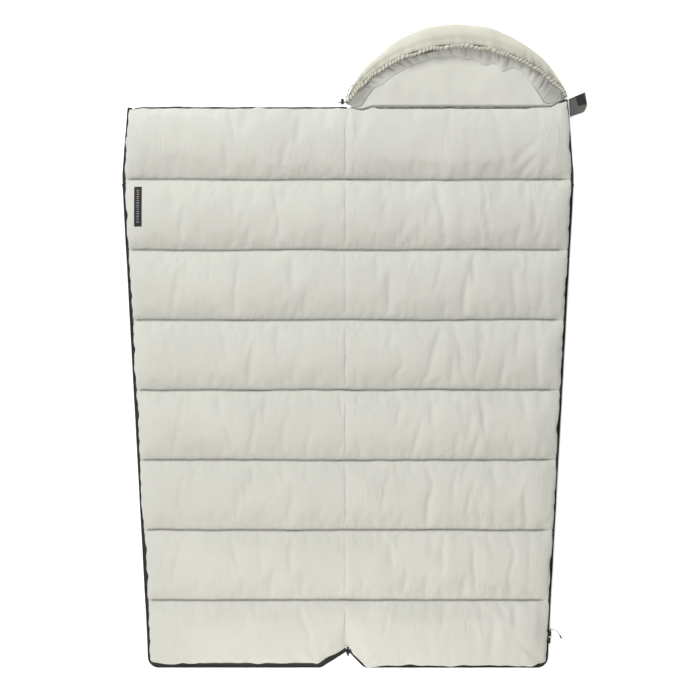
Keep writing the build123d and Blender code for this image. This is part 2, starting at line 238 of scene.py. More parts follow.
def head_line(x):
    """Y of the padding's head edge, which rises at the collar."""
    slope = (COLLAR_CORNER[1] - HALF_LENGTH) / (COLLAR_CORNER[0] - NECK_BEND_X)
    droop = 9 * MM * smooth(-x, 700 * MM, 752 * MM) ** 2 + neck_dip(x)
    return HALF_LENGTH - BINDING + np.clip(x - NECK_BEND_X, 0, None) * slope - droop


def neck_dip(x):
    """How far the neck seam is pulled down beside the hood's gathered end."""
    return np.interp(x, (4 * MM, 30 * MM, 47 * MM, 84 * MM), (0, 8 * MM, 11 * MM, 0))


SEAM_SETTLE = 8.5 * MM


def seam_line(number, x):
    """Y of the stitched line below a channel, counted from the head. It wanders a little."""
    drift = waves(x, np.zeros_like(x), 40 + number, 420 * MM, 4) * 1.3 * MM
    wobble = waves(x, np.zeros_like(x), 60 + number, 90 * MM, 5) * 0.5 * MM
    return HALF_LENGTH - PITCH * number - SEAM_SETTLE + drift + wobble


# ---- meshes --------------------------------------------------------------------------
def piece(name, bm, *materials):
    """A smooth-shaded object from a finished bmesh."""
    mesh = bpy.data.meshes.new(name)
    bm.to_mesh(mesh)
    bm.free()
    obj = bpy.data.objects.new(name, mesh)
    bpy.context.scene.collection.objects.link(obj)
    for material in materials:
        mesh.materials.append(material)
    mesh.polygons.foreach_set("use_smooth", [True] * len(mesh.polygons))
    return obj


def add_grid(bm, points, flip=False, index=0):
    """A grid of faces through rows of points; flipped, it faces the other way."""
    rows, cols = points.shape[:2]
    made = bmesh.ops.create_grid(bm, x_segments=cols - 1, y_segments=rows - 1, size=1)["verts"]
    for vert, place in zip(made, points.reshape(-1, 3)):
        vert.co = place
    faces = list({face for vert in made for face in vert.link_faces})
    if flip:
        bmesh.ops.reverse_faces(bm, faces=faces)
    for face in faces:
        face.material_index = index
    return made


def pad_between(name, top, bottom, *materials):
    """A closed pad from an upper and a lower grid that meet round their border."""
    bm = bmesh.new()
    add_grid(bm, top)
    add_grid(bm, bottom, flip=True, index=1 if len(materials) > 1 else 0)
    bmesh.ops.remove_doubles(bm, verts=bm.verts[:], dist=0.01 * MM)
    bmesh.ops.dissolve_degenerate(bm, edges=bm.edges[:], dist=0.005 * MM)
    return piece(name, bm, *materials)


def store(obj, name, values):
    """Keeps one number for each vertex, for the material to read."""
    layer = obj.data.attributes.new(name, "FLOAT", "POINT")
    layer.data.foreach_set("value", np.asarray(values, dtype=np.float32))


def nearest_points(obj, points):
    """For each vertex, the number of the grid point nearest to it."""
    flat = points.reshape(-1, 3)
    tree = KDTree(len(flat))
    for index, place in enumerate(flat):
        tree.insert(place, index)
    tree.balance()
    return [tree.find(vert.co)[1] for vert in obj.data.vertices]


def close_skin(bm, gap=0.01 * MM):
    """Welds a tube's own seam, caps its ends and turns its faces outwards."""
    bmesh.ops.remove_doubles(bm, verts=bm.verts[:], dist=gap)
    bmesh.ops.holes_fill(bm, edges=[edge for edge in bm.edges if edge.is_boundary], sides=0)
    bmesh.ops.recalc_face_normals(bm, faces=bm.faces[:])


def on_border(shape):
    """True round the outside of a grid."""
    border = np.zeros(shape, bool)
    border[0], border[-1], border[:, 0], border[:, -1] = True, True, True, True
    return border


def coordinates(obj):
    """The places of all vertices, one row each."""
    flat = np.empty(len(obj.data.vertices) * 3, dtype=np.float32)
    obj.data.vertices.foreach_get("co", flat)
    return flat.reshape(-1, 3)


# ---- routes that trims follow --------------------------------------------------------
def turned(point, angle):
    """A point of the plan, turned about the origin."""
    c, s = math.cos(angle), math.sin(angle)
    return np.array((c * point[0] - s * point[1], s * point[0] + c * point[1]))


def rounded(a, corner, b, radius, steps=10):
    """Points of an arc that rounds a corner between a and b."""
    a, corner, b = (np.array(p, dtype=float) for p in (a, corner, b))
    before, after = (
        (a - corner) / np.linalg.norm(a - corner), (b - corner) / np.linalg.norm(b - corner)
    )
    half = math.acos(float(before @ after)) / 2
    reach = radius / math.tan(half)
    middle = (before + after) / np.linalg.norm(before + after)
    centre = corner + middle * radius / math.sin(half)
    start, end = corner + before * reach - centre, corner + after * reach - centre
    turn = math.atan2(start[0] * end[1] - start[1] * end[0], float(start @ end))
    angles = np.linspace(0, turn, steps)
    return [centre + turned(start, angle) for angle in angles]


SHOULDER_RADIUS = 500 * MM
SHOULDER_STEPS = 8
COLLAR_TAPE_EXTRA = 28 * MM


def zip_route(side):
    """The outer edge of the zip tape on one side, 1 or -1, from the head down to the notch."""
    top = np.array(HEAD_CORNER)
    if side > 0:
        way = np.array(HEAD_CORNER) - np.array(SHOULDER)
        top = top + way / np.linalg.norm(way) * COLLAR_TAPE_EXTRA
    shoulder = rounded(top, SHOULDER, ZIP_END, SHOULDER_RADIUS, SHOULDER_STEPS)
    points = [top, *shoulder, np.array(ZIP_END)]
    mouth = NOTCH_MOUTHS[side]
    points += rounded(ZIP_END, FOOT_CORNER, mouth, FOOT_CORNER_RADIUS)
    points += rounded(FOOT_CORNER, mouth, NOTCH_TOP, NOTCH_MOUTH_RADIUS)
    points += [np.array(NOTCH_TOP)]
    return np.array([(side * p[0], p[1]) for p in points])


class Route:
    """A line in plan that trims are laid along: distance, then outward and up."""

    def __init__(self, points, outward):
        self.points = points
        steps = np.linalg.norm(np.diff(points, axis=0), axis=1)
        self.marks = np.concatenate([[0], np.cumsum(steps)])
        self.length = float(self.marks[-1])
        self.outward = outward

    def at(self, distance):
        x = np.interp(distance, self.marks, self.points[:, 0])
        y = np.interp(distance, self.marks, self.points[:, 1])
        near = 2.5 * MM
        dx = (
            np.interp(distance + near, self.marks, self.points[:, 0])
            - np.interp(distance - near, self.marks, self.points[:, 0])
        )
        dy = (
            np.interp(distance + near, self.marks, self.points[:, 1])
            - np.interp(distance - near, self.marks, self.points[:, 1])
        )
        size = np.hypot(dx, dy) + 1e-12
        return np.stack([x, y], -1), np.stack([-dy / size, dx / size], -1) * self.outward

    def lay(self, along, across, up):
        """Points of the frame from distances along, outward and up."""
        base, way = self.at(along)
        return np.stack(
            [
                base[..., 0] + way[..., 0] * across,
                base[..., 1] + way[..., 1] * across,
                up + np.zeros_like(along),
            ],
            -1,
        )


ZIP_ROUTES = {"back": Route(zip_route(1), 1), "front": Route(zip_route(-1), -1)}
HALF_BODIES = {"back": "back_half", "front": "front_half"}


# ---- materials -----------------------------------------------------------------------
class Nodes:
    """A few shorthands for building a node material."""

    def __init__(self, name):
        self.material = bpy.data.materials.new(name)
        self.material.use_nodes = True
        self.tree = self.material.node_tree
        self.shader = self.tree.nodes["Principled BSDF"]

    def add(self, kind, **settings):
        node = self.tree.nodes.new(kind)
        for key, value in settings.items():
            if key in node.inputs:
                node.inputs[key].default_value = value
            else:
                setattr(node, key, value)
        return node

    def link(self, a, b):
        self.tree.links.new(a, b)

    def math(self, operation, a, b):
        node = self.add("ShaderNodeMath", operation=operation)
        for slot, value in enumerate((a, b)):
            if isinstance(value, (int, float)):
                node.inputs[slot].default_value = value
            else:
                self.link(value, node.inputs[slot])
        return node.outputs[0]

    def ramp(self, value, low, high, start, end):
        """Maps a value to a factor between two limits."""
        node = self.add("ShaderNodeMapRange")
        node.clamp = True
        for key, number in zip(
            ("From Min", "From Max", "To Min", "To Max"), (low, high, start, end)
        ):
            node.inputs[key].default_value = number
        self.link(value, node.inputs["Value"])
        return node.outputs["Result"]

    def mix(self, factor, a, b):
        node = self.add("ShaderNodeMix", data_type="RGBA")
        if isinstance(factor, (int, float)):
            node.inputs["Factor"].default_value = factor
        else:
            self.link(factor, node.inputs["Factor"])
        for slot, value in (("A", a), ("B", b)):
            socket = [s for s in node.inputs if s.name == slot and s.type == "RGBA"][0]
            if isinstance(value, tuple):
                socket.default_value = (*value[:3], 1)
            else:
                self.link(value, socket)
        return [s for s in node.outputs if s.type == "RGBA"][0]

    def noise(self, vector, scale, detail=3.0, roughness=0.5):
        node = self.add("ShaderNodeTexNoise", Scale=scale, Detail=detail, Roughness=roughness)
        self.link(vector, node.inputs["Vector"])
        return node.outputs["Fac"]

    def bands(self, vector, axis, scale, distortion=0.0):
        node = self.add("ShaderNodeTexWave", Scale=scale, Distortion=distortion)
        node.bands_direction = axis
        self.link(vector, node.inputs["Vector"])
        return node.outputs["Fac"]

    def stretched(self, vector, factors):
        node = self.add("ShaderNodeMapping")
        node.inputs["Scale"].default_value = factors
        self.link(vector, node.inputs["Vector"])
        return node.outputs["Vector"]

    def bump(self, height, strength, distance, under=None):
        node = self.add("ShaderNodeBump", Strength=strength, Distance=distance)
        self.link(height, node.inputs["Height"])
        if under is not None:
            self.link(under, node.inputs["Normal"])
        return node.outputs["Normal"]

    def finish(self, colour, normal, roughness, **sockets):
        self.link(colour, self.shader.inputs["Base Color"])
        if normal is not None:
            self.link(normal, self.shader.inputs["Normal"])
        self.shader.inputs["Roughness"].default_value = roughness
        for key, value in sockets.items():
            self.shader.inputs[key.replace("_", " ")].default_value = value
        return self.material


def shade(colour, factor):
    """A lighter or darker version of a colour."""
    return tuple(min(1.0, c * factor) for c in colour)


def weave_scale(thread):
    """Wave texture scale that gives bands one thread apart."""
    return 2 * math.pi / (20 * thread)


def cloth(
    name,
    colour,
    thread,
    roughness=0.88,
    sheen=0.3,
    seam=None,
    mottle=0.05,
    nap=0.5,
    mark="seam",
    streaks=0.0,
):
    """Plain-weave cloth: crossing threads, a soft nap, slow colour drift, and painted shade mixed
    in where an attribute marks stitched grooves and folds.
    """
    n = Nodes(name)
    place = n.add("ShaderNodeTexCoord").outputs["Object"]
    slow = n.noise(place, 5.0, 4.0, 0.55)
    fine = n.noise(place, 900.0, 2.0, 0.6)
    crease_relief_and_shade = n.noise(n.stretched(place, (1.0, 0.35, 1.0)), 38.0, 5.0, 0.6)
    tint = n.mix(
        n.ramp(slow, 0.3, 0.7, 0, 1), shade(colour, 1 - mottle), shade(colour, 1 + mottle * 0.6)
    )
    tint = n.mix(n.ramp(fine, 0.35, 0.75, 0, 0.35), tint, shade(colour, 0.86))
    # Painted crease shade: the colour is darkened slightly along the crease bump.
    tint = n.mix(n.ramp(crease_relief_and_shade, 0.55, 0.8, 0, 0.22), tint, shade(colour, 0.9))
    # Painted shade: the colour is mixed towards a darker seam colour where the stored mark is
    # high, in stitched grooves and folds.
    if seam is not None:
        depth = n.add("ShaderNodeAttribute", attribute_name=mark).outputs["Fac"]
        tint = n.mix(n.ramp(depth, 0.0, 1.0, 0.0, 0.8), tint, seam)
    warp = n.bands(place, "X", weave_scale(thread))
    weft = n.bands(place, "Y", weave_scale(thread))
    weave = n.math("MULTIPLY", warp, weft)
    normal = n.bump(weave, 0.35, 0.12 * MM)
    normal = n.bump(fine, nap * 0.35, 0.25 * MM, normal)
    normal = n.bump(crease_relief_and_shade, 0.3, 1.1 * MM, normal)
    if streaks:
        lines = n.ramp(
            n.noise(n.stretched(place, (1.0, 0.09, 1.0)), 105.0, 2.5, 0.5), 0.54, 0.70, 0, 1
        )
        patches = n.ramp(n.noise(place, 8.0, 2.0, 0.5), 0.46, 0.62, 0, 1)
        lines = n.math("MULTIPLY", lines, patches)
        normal = n.bump(lines, 0.9, streaks, normal)
    return n.finish(
        tint, normal, roughness, Sheen_Weight=sheen, Sheen_Roughness=0.55, Specular_IOR_Level=0.25
    )


def ribbed(name, colour, rib, along="X", roughness=0.8, edge=0.75):
    """Woven tape: ribs across it, read from the piece's own map or from its place."""
    n = Nodes(name)
    place = n.add("ShaderNodeTexCoord").outputs["UV" if along == "UV" else "Object"]
    ribs = n.bands(place, "X" if along == "UV" else along, weave_scale(rib))
    cross = n.bands(place, "Y", weave_scale(rib * 0.8))
    speck = n.noise(place, 700.0, 2.0, 0.6)
    slow = n.noise(place, 14.0, 3.0, 0.5)
    tint = n.mix(n.ramp(ribs, 0, 1, 0.0, 0.6), shade(colour, edge), shade(colour, 1.35))
    tint = n.mix(n.ramp(slow, 0.35, 0.7, 0, 0.5), tint, shade(colour, 1.5))
    tint = n.mix(n.ramp(speck, 0.5, 0.8, 0, 0.4), tint, shade(colour, 1.8))
    normal = n.bump(ribs, 0.6, 0.25 * MM)
    normal = n.bump(cross, 0.35, 0.15 * MM, normal)
    return n.finish(tint, normal, roughness, Sheen_Weight=0.15, Specular_IOR_Level=0.3)


def braided(name, colour, scale=420.0):
    """Braided cord: two sets of slanting strands and a little fuzz."""
    n = Nodes(name)
    place = n.add("ShaderNodeTexCoord").outputs["Object"]
    one = n.add("ShaderNodeTexWave", Scale=scale)
    one.bands_direction = "DIAGONAL"
    n.link(place, one.inputs["Vector"])
    two = n.add("ShaderNodeTexWave", Scale=scale)
    two.bands_direction = "DIAGONAL"
    n.link(n.stretched(place, (-1.0, 1.0, 1.0)), two.inputs["Vector"])
    strands = n.math("MULTIPLY", one.outputs["Fac"], two.outputs["Fac"])
    fuzz = n.noise(place, 1500.0, 2.0, 0.6)
    tint = n.mix(strands, shade(colour, 0.55), shade(colour, 1.3))
    tint = n.mix(n.ramp(fuzz, 0.5, 0.8, 0, 0.4), tint, shade(colour, 1.9))
    return n.finish(tint, n.bump(strands, 0.7, 0.2 * MM), 0.75, Sheen_Weight=0.2)


def moulded(name, colour, roughness=0.42):
    """Moulded plastic with a fine spark-eroded grain and faint handling wear."""
    n = Nodes(name)
    place = n.add("ShaderNodeTexCoord").outputs["Object"]
    grain = n.noise(place, 2600.0, 2.0, 0.5)
    wear = n.noise(place, 160.0, 4.0, 0.6)
    tint = n.mix(n.ramp(wear, 0.45, 0.75, 0, 0.7), colour, shade(colour, 2.2))
    n.link(
        n.ramp(wear, 0.3, 0.8, roughness - 0.08, roughness + 0.18), n.shader.inputs["Roughness"]
    )
    return n.finish(tint, n.bump(grain, 0.25, 0.05 * MM), roughness, Specular_IOR_Level=0.45)


def lacquered(name, colour):
    """Black-lacquered zinc, rubbed a little brighter in places."""
    n = Nodes(name)
    place = n.add("ShaderNodeTexCoord").outputs["Object"]
    rub = n.noise(place, 260.0, 5.0, 0.65)
    pits = n.noise(place, 2200.0, 2.0, 0.5)
    tint = n.mix(n.ramp(rub, 0.52, 0.72, 0, 0.8), colour, (0.16, 0.155, 0.15))
    n.link(n.ramp(rub, 0.4, 0.75, 0.28, 0.5), n.shader.inputs["Roughness"])
    return n.finish(tint, n.bump(pits, 0.2, 0.04 * MM), 0.32, Metallic=0.65, Coat_Weight=0.35)


def hooks(name, colour):
    """The hook half of hook-and-loop: rows of tiny stiff hooks."""
    n = Nodes(name)
    place = n.add("ShaderNodeTexCoord").outputs["Object"]
    cells = n.add("ShaderNodeTexVoronoi", Scale=650.0)
    n.link(place, cells.inputs["Vector"])
    tips = n.ramp(cells.outputs["Distance"], 0.0, 0.6, 1.0, 0.0)
    speck = n.noise(place, 420.0, 3.0, 0.6)
    tint = n.mix(tips, shade(colour, 0.4), shade(colour, 3.0))
    tint = n.mix(n.ramp(speck, 0.5, 0.75, 0, 0.4), tint, shade(colour, 1.8))
    return n.finish(tint, n.bump(tips, 0.9, 0.8 * MM), 0.6, Specular_IOR_Level=0.4)


def label_thread():
    """Thread of the woven marks: sand at the head end, then blue grey, then grey."""
    n = Nodes("label_thread")
    place = n.add("ShaderNodeTexCoord").outputs["Object"]
    parts = n.add("ShaderNodeSeparateXYZ")
    n.link(place, parts.inputs[0])
    first = n.mix(
        n.ramp(parts.outputs["Y"], 0.600, 0.612, 0, 1), (0.22, 0.23, 0.25), (0.13, 0.22, 0.27)
    )
    tint = n.mix(n.ramp(parts.outputs["Y"], 0.622, 0.632, 0, 1), first, (0.42, 0.31, 0.22))
    ribs = n.bands(place, "Y", weave_scale(0.7 * MM))
    tint = n.mix(ribs, shade((0.3, 0.3, 0.3), 0.4), tint)
    return n.finish(tint, n.bump(ribs, 0.5, 0.1 * MM), 0.7, Sheen_Weight=0.15)


FINISHES = {}


def finish(name):
    """A material that make_finishes has made."""
    return FINISHES[name]


def make_finishes():
    """Makes each cloth, tape, cord, metal and plastic once."""
    c = colours()
    lining, shell = tuple(c.lining), tuple(c.shell)
    thread = tuple(c.thread)
    # The seam colours given below are painted shade that the stored marks mix into each cloth.
    FINISHES["lining"] = cloth(
        "lining_cloth", lining, 0.55 * MM, 0.92, 0.35, seam=shade(lining, 0.42), streaks=1.0 * MM
    )
    FINISHES["shell"] = cloth(
        "shell_cloth", shell, 0.4 * MM, 0.8, 0.2, seam=shade(shell, 0.5), mottle=0.06, nap=0.2
    )
    # Painted shade colour for the hood's outer cloth in its folds.
    fold = shade(shell, 0.34)
    # The hood's lining is the body's lining painted 5% lighter, as painted light.
    FINISHES["hood_lining"] = cloth(
        "hood_lining_cloth",
        shade(lining, 1.05),
        0.55 * MM,
        0.92,
        0.35,
        seam=shade(lining, 0.42),
        mark="fold",
    )
    FINISHES["hood_shell"] = cloth(
        "hood_shell_cloth", shell, 0.4 * MM, 0.8, 0.2, seam=fold, mottle=0.06, nap=0.2, mark="fold"
    )
    # The hem is the shell cloth painted 5% darker as painted shade, with darker painted shade in
    # its gathers.
    FINISHES["hem"] = cloth(
        "hem_cloth",
        shade(shell, 0.95),
        0.4 * MM,
        0.8,
        0.2,
        seam=shade(shell, 0.2),
        mottle=0.08,
        mark="fold",
    )
    FINISHES["binding"] = ribbed("binding_grosgrain", tuple(c.binding), 0.9 * MM, "X")
    FINISHES["tape"] = ribbed("zip_tape_weave", tuple(c.tape), 0.8 * MM, "UV")
    FINISHES["coil"] = moulded("zip_coil_nylon", tuple(c.tape), 0.38)
    FINISHES["webbing"] = ribbed("tab_webbing_weave", tuple(c.webbing), 1.1 * MM, "X", edge=0.6)
    FINISHES["hooks"] = hooks("hook_patch_face", (0.010, 0.010, 0.009))
    FINISHES["loops"] = cloth("loop_patch_face", (0.02, 0.02, 0.02), 0.5 * MM, 0.95, 0.5, nap=1.5)
    FINISHES["label"] = ribbed("label_weave", tuple(c.label), 0.45 * MM, "X", 0.7)
    FINISHES["marks"] = label_thread()
    FINISHES["thread"] = braided("quilting_thread", thread, 900.0)
    FINISHES["dark_thread"] = braided("trim_thread", (0.03, 0.03, 0.03), 900.0)
    FINISHES["cord"] = braided("drawcord_braid", tuple(c.cord), 260.0)
    FINISHES["pull_cord"] = braided("pull_cord_braid", (0.035, 0.035, 0.033), 320.0)
    FINISHES["plastic"] = moulded("lock_plastic", (0.014, 0.014, 0.014))
    FINISHES["zip_plastic"] = moulded("zip_end_plastic", (0.02, 0.02, 0.02), 0.5)
    FINISHES["metal"] = lacquered("zip_lacquer", (0.014, 0.014, 0.014))


# ---- the quilted body ----------------------------------------------------------------
EDGE = 58 * MM
EDGE_STEPS = 10
SEAM_HALF = 1.4 * MM
FOLD_X = -8 * MM
WALL_TOP = 968 * MM


def edge_stations():
    """Along an outer edge: how far in from the wall, how high, and the share of the overhang."""
    a = np.linspace(0, 1, EDGE_STEPS + 1) ** 1.15
    inward = EDGE * (1 - np.cos(a * math.pi / 2))
    height = np.sin(a * math.pi / 2) ** 0.72
    bulge = np.sin(np.clip(a * 1.9, 0, 1) * math.pi) * (a < 0.53)
    return inward, height, bulge


def column_plan():
    """Columns across both halves: each is a place in from a wall, or a share of the middle."""
    inward, height, bulge = edge_stations()
    middle_half = WALL_X[2] - EDGE
    coarse = np.arange(1, 79) * (middle_half - 34 * MM) / 78 + 34 * MM
    fine = np.concatenate([np.arange(0, 17) * 2 * MM])
    half = np.concatenate([fine, coarse])[:-1]
    inner = np.concatenate([-half[::-1][:-1], half])
    left = np.stack([-np.ones_like(inward), inward, height, bulge], -1)
    right = np.stack([np.ones_like(inward), inward, height, bulge], -1)[::-1]
    middle = np.stack(
        [np.zeros_like(inner), inner / middle_half, np.ones_like(inner), np.zeros_like(inner)], -1
    )
    return np.concatenate([left, middle, right])


def row_plan(count=30):
    """Rows from foot to head: channel number, and place in it from 0 at its foot side to 1."""
    t = np.linspace(0, 1, count + 1)
    share = 0.55 * t + 0.45 * (0.5 - 0.5 * np.cos(math.pi * t))
    return np.array([(number, s) for number in range(BAFFLES, 0, -1) for s in share])


def channel_height(share):
    """Cross-section of a filled channel, 0 at its stitched lines and 1 at its crest."""
    x = 2 * share - 1
    return 0.5 * (1 - x**2) + 0.5 * np.sqrt(np.clip(1 - x**2, 0, 1))


def creases(x, y, share, number, seed):
    """Creases that run down the channels: many by the hooded side's edge, a few elsewhere."""
    rng = np.random.default_rng(seed)
    total = np.zeros_like(x)
    wall = wall_x(y)
    for channel in range(1, BAFFLES + 1):
        inside = number == channel
        spots = np.concatenate(
            [
                rng.uniform(0.38, 0.99, 24),
                rng.uniform(0.86, 1.0, 7),
                rng.uniform(-0.99, -0.80, 6),
                rng.uniform(-0.8, 0.42, 8),
            ]
        )
        for spot in spots:
            edge = abs(spot) > 0.8
            depth = (
                rng.uniform(0.9, 2.6)
                * MM
                * (1.0 if spot > 0.4 else 0.6)
                * rng.choice([-1, 1], p=[0.65, 0.35])
            )
            width = rng.uniform(5, 12) * MM if edge else rng.uniform(7, 20) * MM
            slant = rng.uniform(-0.25, 0.25)
            middle = rng.choice([0.12, 0.88, 0.5]) + rng.uniform(-0.1, 0.1)
            reach = rng.uniform(0.18, 0.5)
            away = x - spot * wall - slant * (share - middle) * PITCH
            along = np.exp(-(((share - middle) / reach) ** 2))
            total += inside * depth * along * np.exp(-((away / width) ** 2))
    return total


def puckers(x, number, near_low, near_high, seed):
    """Short gathers square to each stitched line."""
    total = np.zeros_like(x)
    for side, away in ((0, near_low), (1, near_high)):
        ripple = waves(x, number * 3.0 + side, seed + side, 30 * MM, 9)
        swell = 0.5 + 0.5 * waves(x, number * 5.0 + side, seed + 9 + side, 260 * MM, 5)
        total += (
            ripple
            * np.clip(swell, 0.1, 1.4)
            * np.exp(-away / (19 * MM))
            * (1 - np.exp(-away / (4 * MM)))
        )
    return total


def quilt_grids():
    """Upper and lower points of the whole quilt, and which of them are sewn down."""
    s = sizes()
    columns, rows = column_plan(), row_plan()
    number = np.repeat(rows[:, :1], len(columns), 1)
    share = np.repeat(rows[:, 1:], len(columns), 1)
    side, place, rise, bulge = (np.repeat(columns[:, k][None], len(rows), 0) for k in range(4))
    centre_y = HALF_LENGTH - PITCH * (number - share)
    wall = wall_x(np.clip(centre_y, WALL_Y[0], WALL_TOP))
    middle = place * (wall - EDGE)
    flat_x = np.where(side == 0, middle, side * (wall - place))
    low = np.zeros_like(flat_x)
    high = np.zeros_like(flat_x)
    for channel in range(1, BAFFLES + 1):
        inside = number == channel
        below = foot_line(flat_x) if channel == BAFFLES else seam_line(channel, flat_x) + SEAM_HALF
        above = head_line(flat_x) if channel == 1 else seam_line(channel - 1, flat_x) - SEAM_HALF
        low, high = np.where(inside, below, low), np.where(inside, above, high)
    y = low + (high - low) * share
    wall = wall_x(y)
    x = np.where(side == 0, place * (wall - EDGE), side * (wall - place))
    crown = channel_height(share)
    full = 1 + 0.035 * waves(x, y, 5, 330 * MM, 6)
    near_low, near_high = (y - low), (high - y)
    end_low, end_high = number == BAFFLES, number == 1
    z = s.seam_level + (s.loft * full - s.seam_level) * crown
    lowest = np.where(
        (end_low & (share < 0.5)) | (end_high & (share > 0.5)), TAPE_LEVEL, s.seam_level
    )
    z = lowest + (z - s.seam_level) * (s.loft - lowest) / (s.loft - s.seam_level)
    rag = (
        waves(y, x * 0 + side, 6, 60 * MM, 5) * 0.9 * MM
        + waves(y, x * 0 + side, 8, 210 * MM, 4) * 1.3 * MM
    )
    over = s.overhang + np.where(side > 0, 5.0 * MM + rag, 3.0 * MM + 1.8 * rag)
    over *= bulge * (0.72 + 0.28 * np.sqrt(crown))
    x_up = x + side * (over + 3.5 * MM * bulge * (side > 0) * smooth(y, 0.80, 0.90))
    fray = waves(x, x * 0, 9, 55 * MM, 6) * 1.2 * MM + waves(x, x * 0, 10, 230 * MM, 5) * 1.5 * MM
    foot_lip = np.where(x > 0, 18.5, 8.5) * MM * smooth(np.abs(x), 3 * MM, 16 * MM) + fray * 0.8
    foot_lip *= 1 - 0.6 * smooth(np.abs(x), 610 * MM, 660 * MM)
    head_lip = np.where(x > 0, 10.0 * MM + 0.3 * fray, 5.6 * MM + 1.5 * fray)
    reach = np.where(share < 0.5, share, 1 - share) / 0.03
    near_edge = reach * np.exp(1 - reach) * rise
    y_up = (
        y
        + np.where(end_low & (share < 0.5), -foot_lip, 0) * near_edge
        + np.where(end_high & (share > 0.5), head_lip, 0) * near_edge
    )
    relief = (
        creases(x, y, share, number, 11) + puckers(x, number, near_low, near_high, 21) * 1.5 * MM
    )
    relief += waves(x, y, 31, 120 * MM, 8, 1.6) * 0.9 * MM * crown
    fold = np.exp(-(((x - FOLD_X) / (9 * MM)) ** 2))
    pinch = (
        np.exp(-(((x - FOLD_X + 5 * MM) / (17 * MM)) ** 2))
        * (np.exp(-near_low / (24 * MM)) + np.exp(-near_high / (24 * MM)))
    )
    relief -= 1.8 * MM * fold * crown + 6.5 * MM * pinch * crown
    z = TAPE_LEVEL + (z + relief * s.crumple * np.sqrt(crown) - TAPE_LEVEL) * rise
    top = np.stack([x_up, y_up, np.maximum(z, 3 * MM)], -1)
    border = np.where(side == 0, 1.0, np.clip(place / (9 * MM), 0, 1))
    ends = (
        np.where(end_low, np.clip(near_low / (9 * MM), 0, 1), 1)
        * np.where(end_high, np.clip(near_high / (9 * MM), 0, 1), 1)
    )
    lift = 1 - border * ends
    inner = np.where(end_low & (share < 0.5), 0, 1) * np.where(end_high & (share > 0.5), 0, 1)
    nearest = np.clip(np.minimum(near_low, near_high), 0, None)
    line = inner * np.exp(-((nearest / (20 * MM)) ** 1.3))
    soft = (
        0.5
        + 0.5 * waves(x, y, 33, 90 * MM, 8, 1.8)
        + 0.35 * waves(x, y, 35, 34 * MM, 8, 2.5) * line
    )
    under = (
        0.25 * MM
        + 4.0 * MM * line
        + 1.1 * MM * np.clip(soft, 0, 1.6) * (1 - lift)
        + (TAPE_LEVEL - 0.25 * MM) * lift**1.6
    )
    under = np.minimum(under, TAPE_LEVEL + 0.2 * MM)
    bottom = np.stack([x, y, under], -1)
    border = on_border(x.shape)
    top[border, 2] = TAPE_LEVEL
    bottom[border] = top[border]
    sewn = (share < 1e-6) | (share > 1 - 1e-6)
    return top, bottom, sewn | border


PRESSURE = 2.0
SLACK = 0.014
SIMULATED_FRAMES = 16
FARTHEST_MOVE = 7 * MM
LINING_LOWEST = 2.5 * MM


def swell(name, points, held):
    """Inflates a sheet held along its stitched lines, and returns where its points go."""
    bm = bmesh.new()
    add_grid(bm, points)
    sheet = piece(name, bm)
    group = sheet.vertex_groups.new(name="sewn")
    group.add([int(i) for i in np.flatnonzero(held.reshape(-1))], 1.0, "REPLACE")
    modifier = sheet.modifiers.new("Cloth", "CLOTH")
    settings = modifier.settings
    settings.quality = 6
    settings.mass = 0.25
    settings.tension_stiffness, settings.compression_stiffness = 18, 18
    settings.shear_stiffness, settings.bending_stiffness = 6, 0.4
    settings.use_pressure = True
    settings.uniform_pressure_force = PRESSURE
    settings.shrink_min = -SLACK
    settings.vertex_group_mass = "sewn"
    settings.effector_weights.gravity = 0
    modifier.collision_settings.use_collision = False
    modifier.point_cache.frame_start, modifier.point_cache.frame_end = 1, SIMULATED_FRAMES
    scene = bpy.context.scene
    for step in range(1, SIMULATED_FRAMES + 1):
        scene.frame_set(step)
    shaped = sheet.evaluated_get(bpy.context.evaluated_depsgraph_get())
    moved = np.empty(len(sheet.data.vertices) * 3, dtype=np.float32)
    shaped.data.vertices.foreach_get("co", moved)
    moved = moved.reshape(points.shape).astype(float)
    bpy.data.objects.remove(sheet, do_unlink=True)
    scene.frame_set(1)
    shift = moved - points
    far = np.linalg.norm(shift, axis=-1, keepdims=True)
    return points + shift * np.minimum(1, FARTHEST_MOVE / np.maximum(far, 1e-9))


SURFACES = {}
DROP_FROM = 0.3


def make_quilt_body():
    """The filled body: lining above, shell below, stitched into channels."""
    top, bottom, held = quilt_grids()
    top = swell("lining_sheet", top, held)
    top[..., 2] = np.maximum(top[..., 2], LINING_LOWEST)
    body = pad_between("quilt_body", top, bottom, finish("lining"), finish("shell"))
    SURFACES["quilt"] = BVHTree.FromObject(body, bpy.context.evaluated_depsgraph_get())
    spots = coordinates(body)
    away = np.full(len(spots), 1.0)
    for number in range(1, BAFFLES):
        away = np.minimum(away, np.abs(spots[:, 1] - seam_line(number, spots[:, 0])))
    # Painted shade in the stitched grooves, together with the dark thread line: darker within a
    # few millimetres of each seam line, fading out near both walls.
    mark = 1 - smooth(away, SEAM_HALF * 1.05, SEAM_HALF + 4.4 * MM)
    wall = wall_x(spots[:, 1])
    mark *= (
        smooth(wall - spots[:, 0], 14 * MM, 26 * MM) * smooth(wall + spots[:, 0], 4 * MM, 12 * MM)
    )
    store(body, "seam", mark)
    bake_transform(body)
    halves = [f"{layer}_{half}" for layer in ("shell", "lining") for half in ("back", "front")]
    batts = [
        f"batt_{half}_{number}" for half in ("back", "front") for number in range(1, BAFFLES + 1)
    ]
    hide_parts(*halves, *batts)


def drop_on(surface, x, y, fallback):
    """Height of a finished surface at a point, found from well above it."""
    hit = SURFACES[surface].ray_cast(Vector((x, y, DROP_FROM)), Vector((0, 0, -1)))
    return hit[0].z if hit[0] else fallback


def height_at(x, y):
    """Height of the quilt's upper cloth at a point."""
    return drop_on("quilt", x, y, 6 * MM)


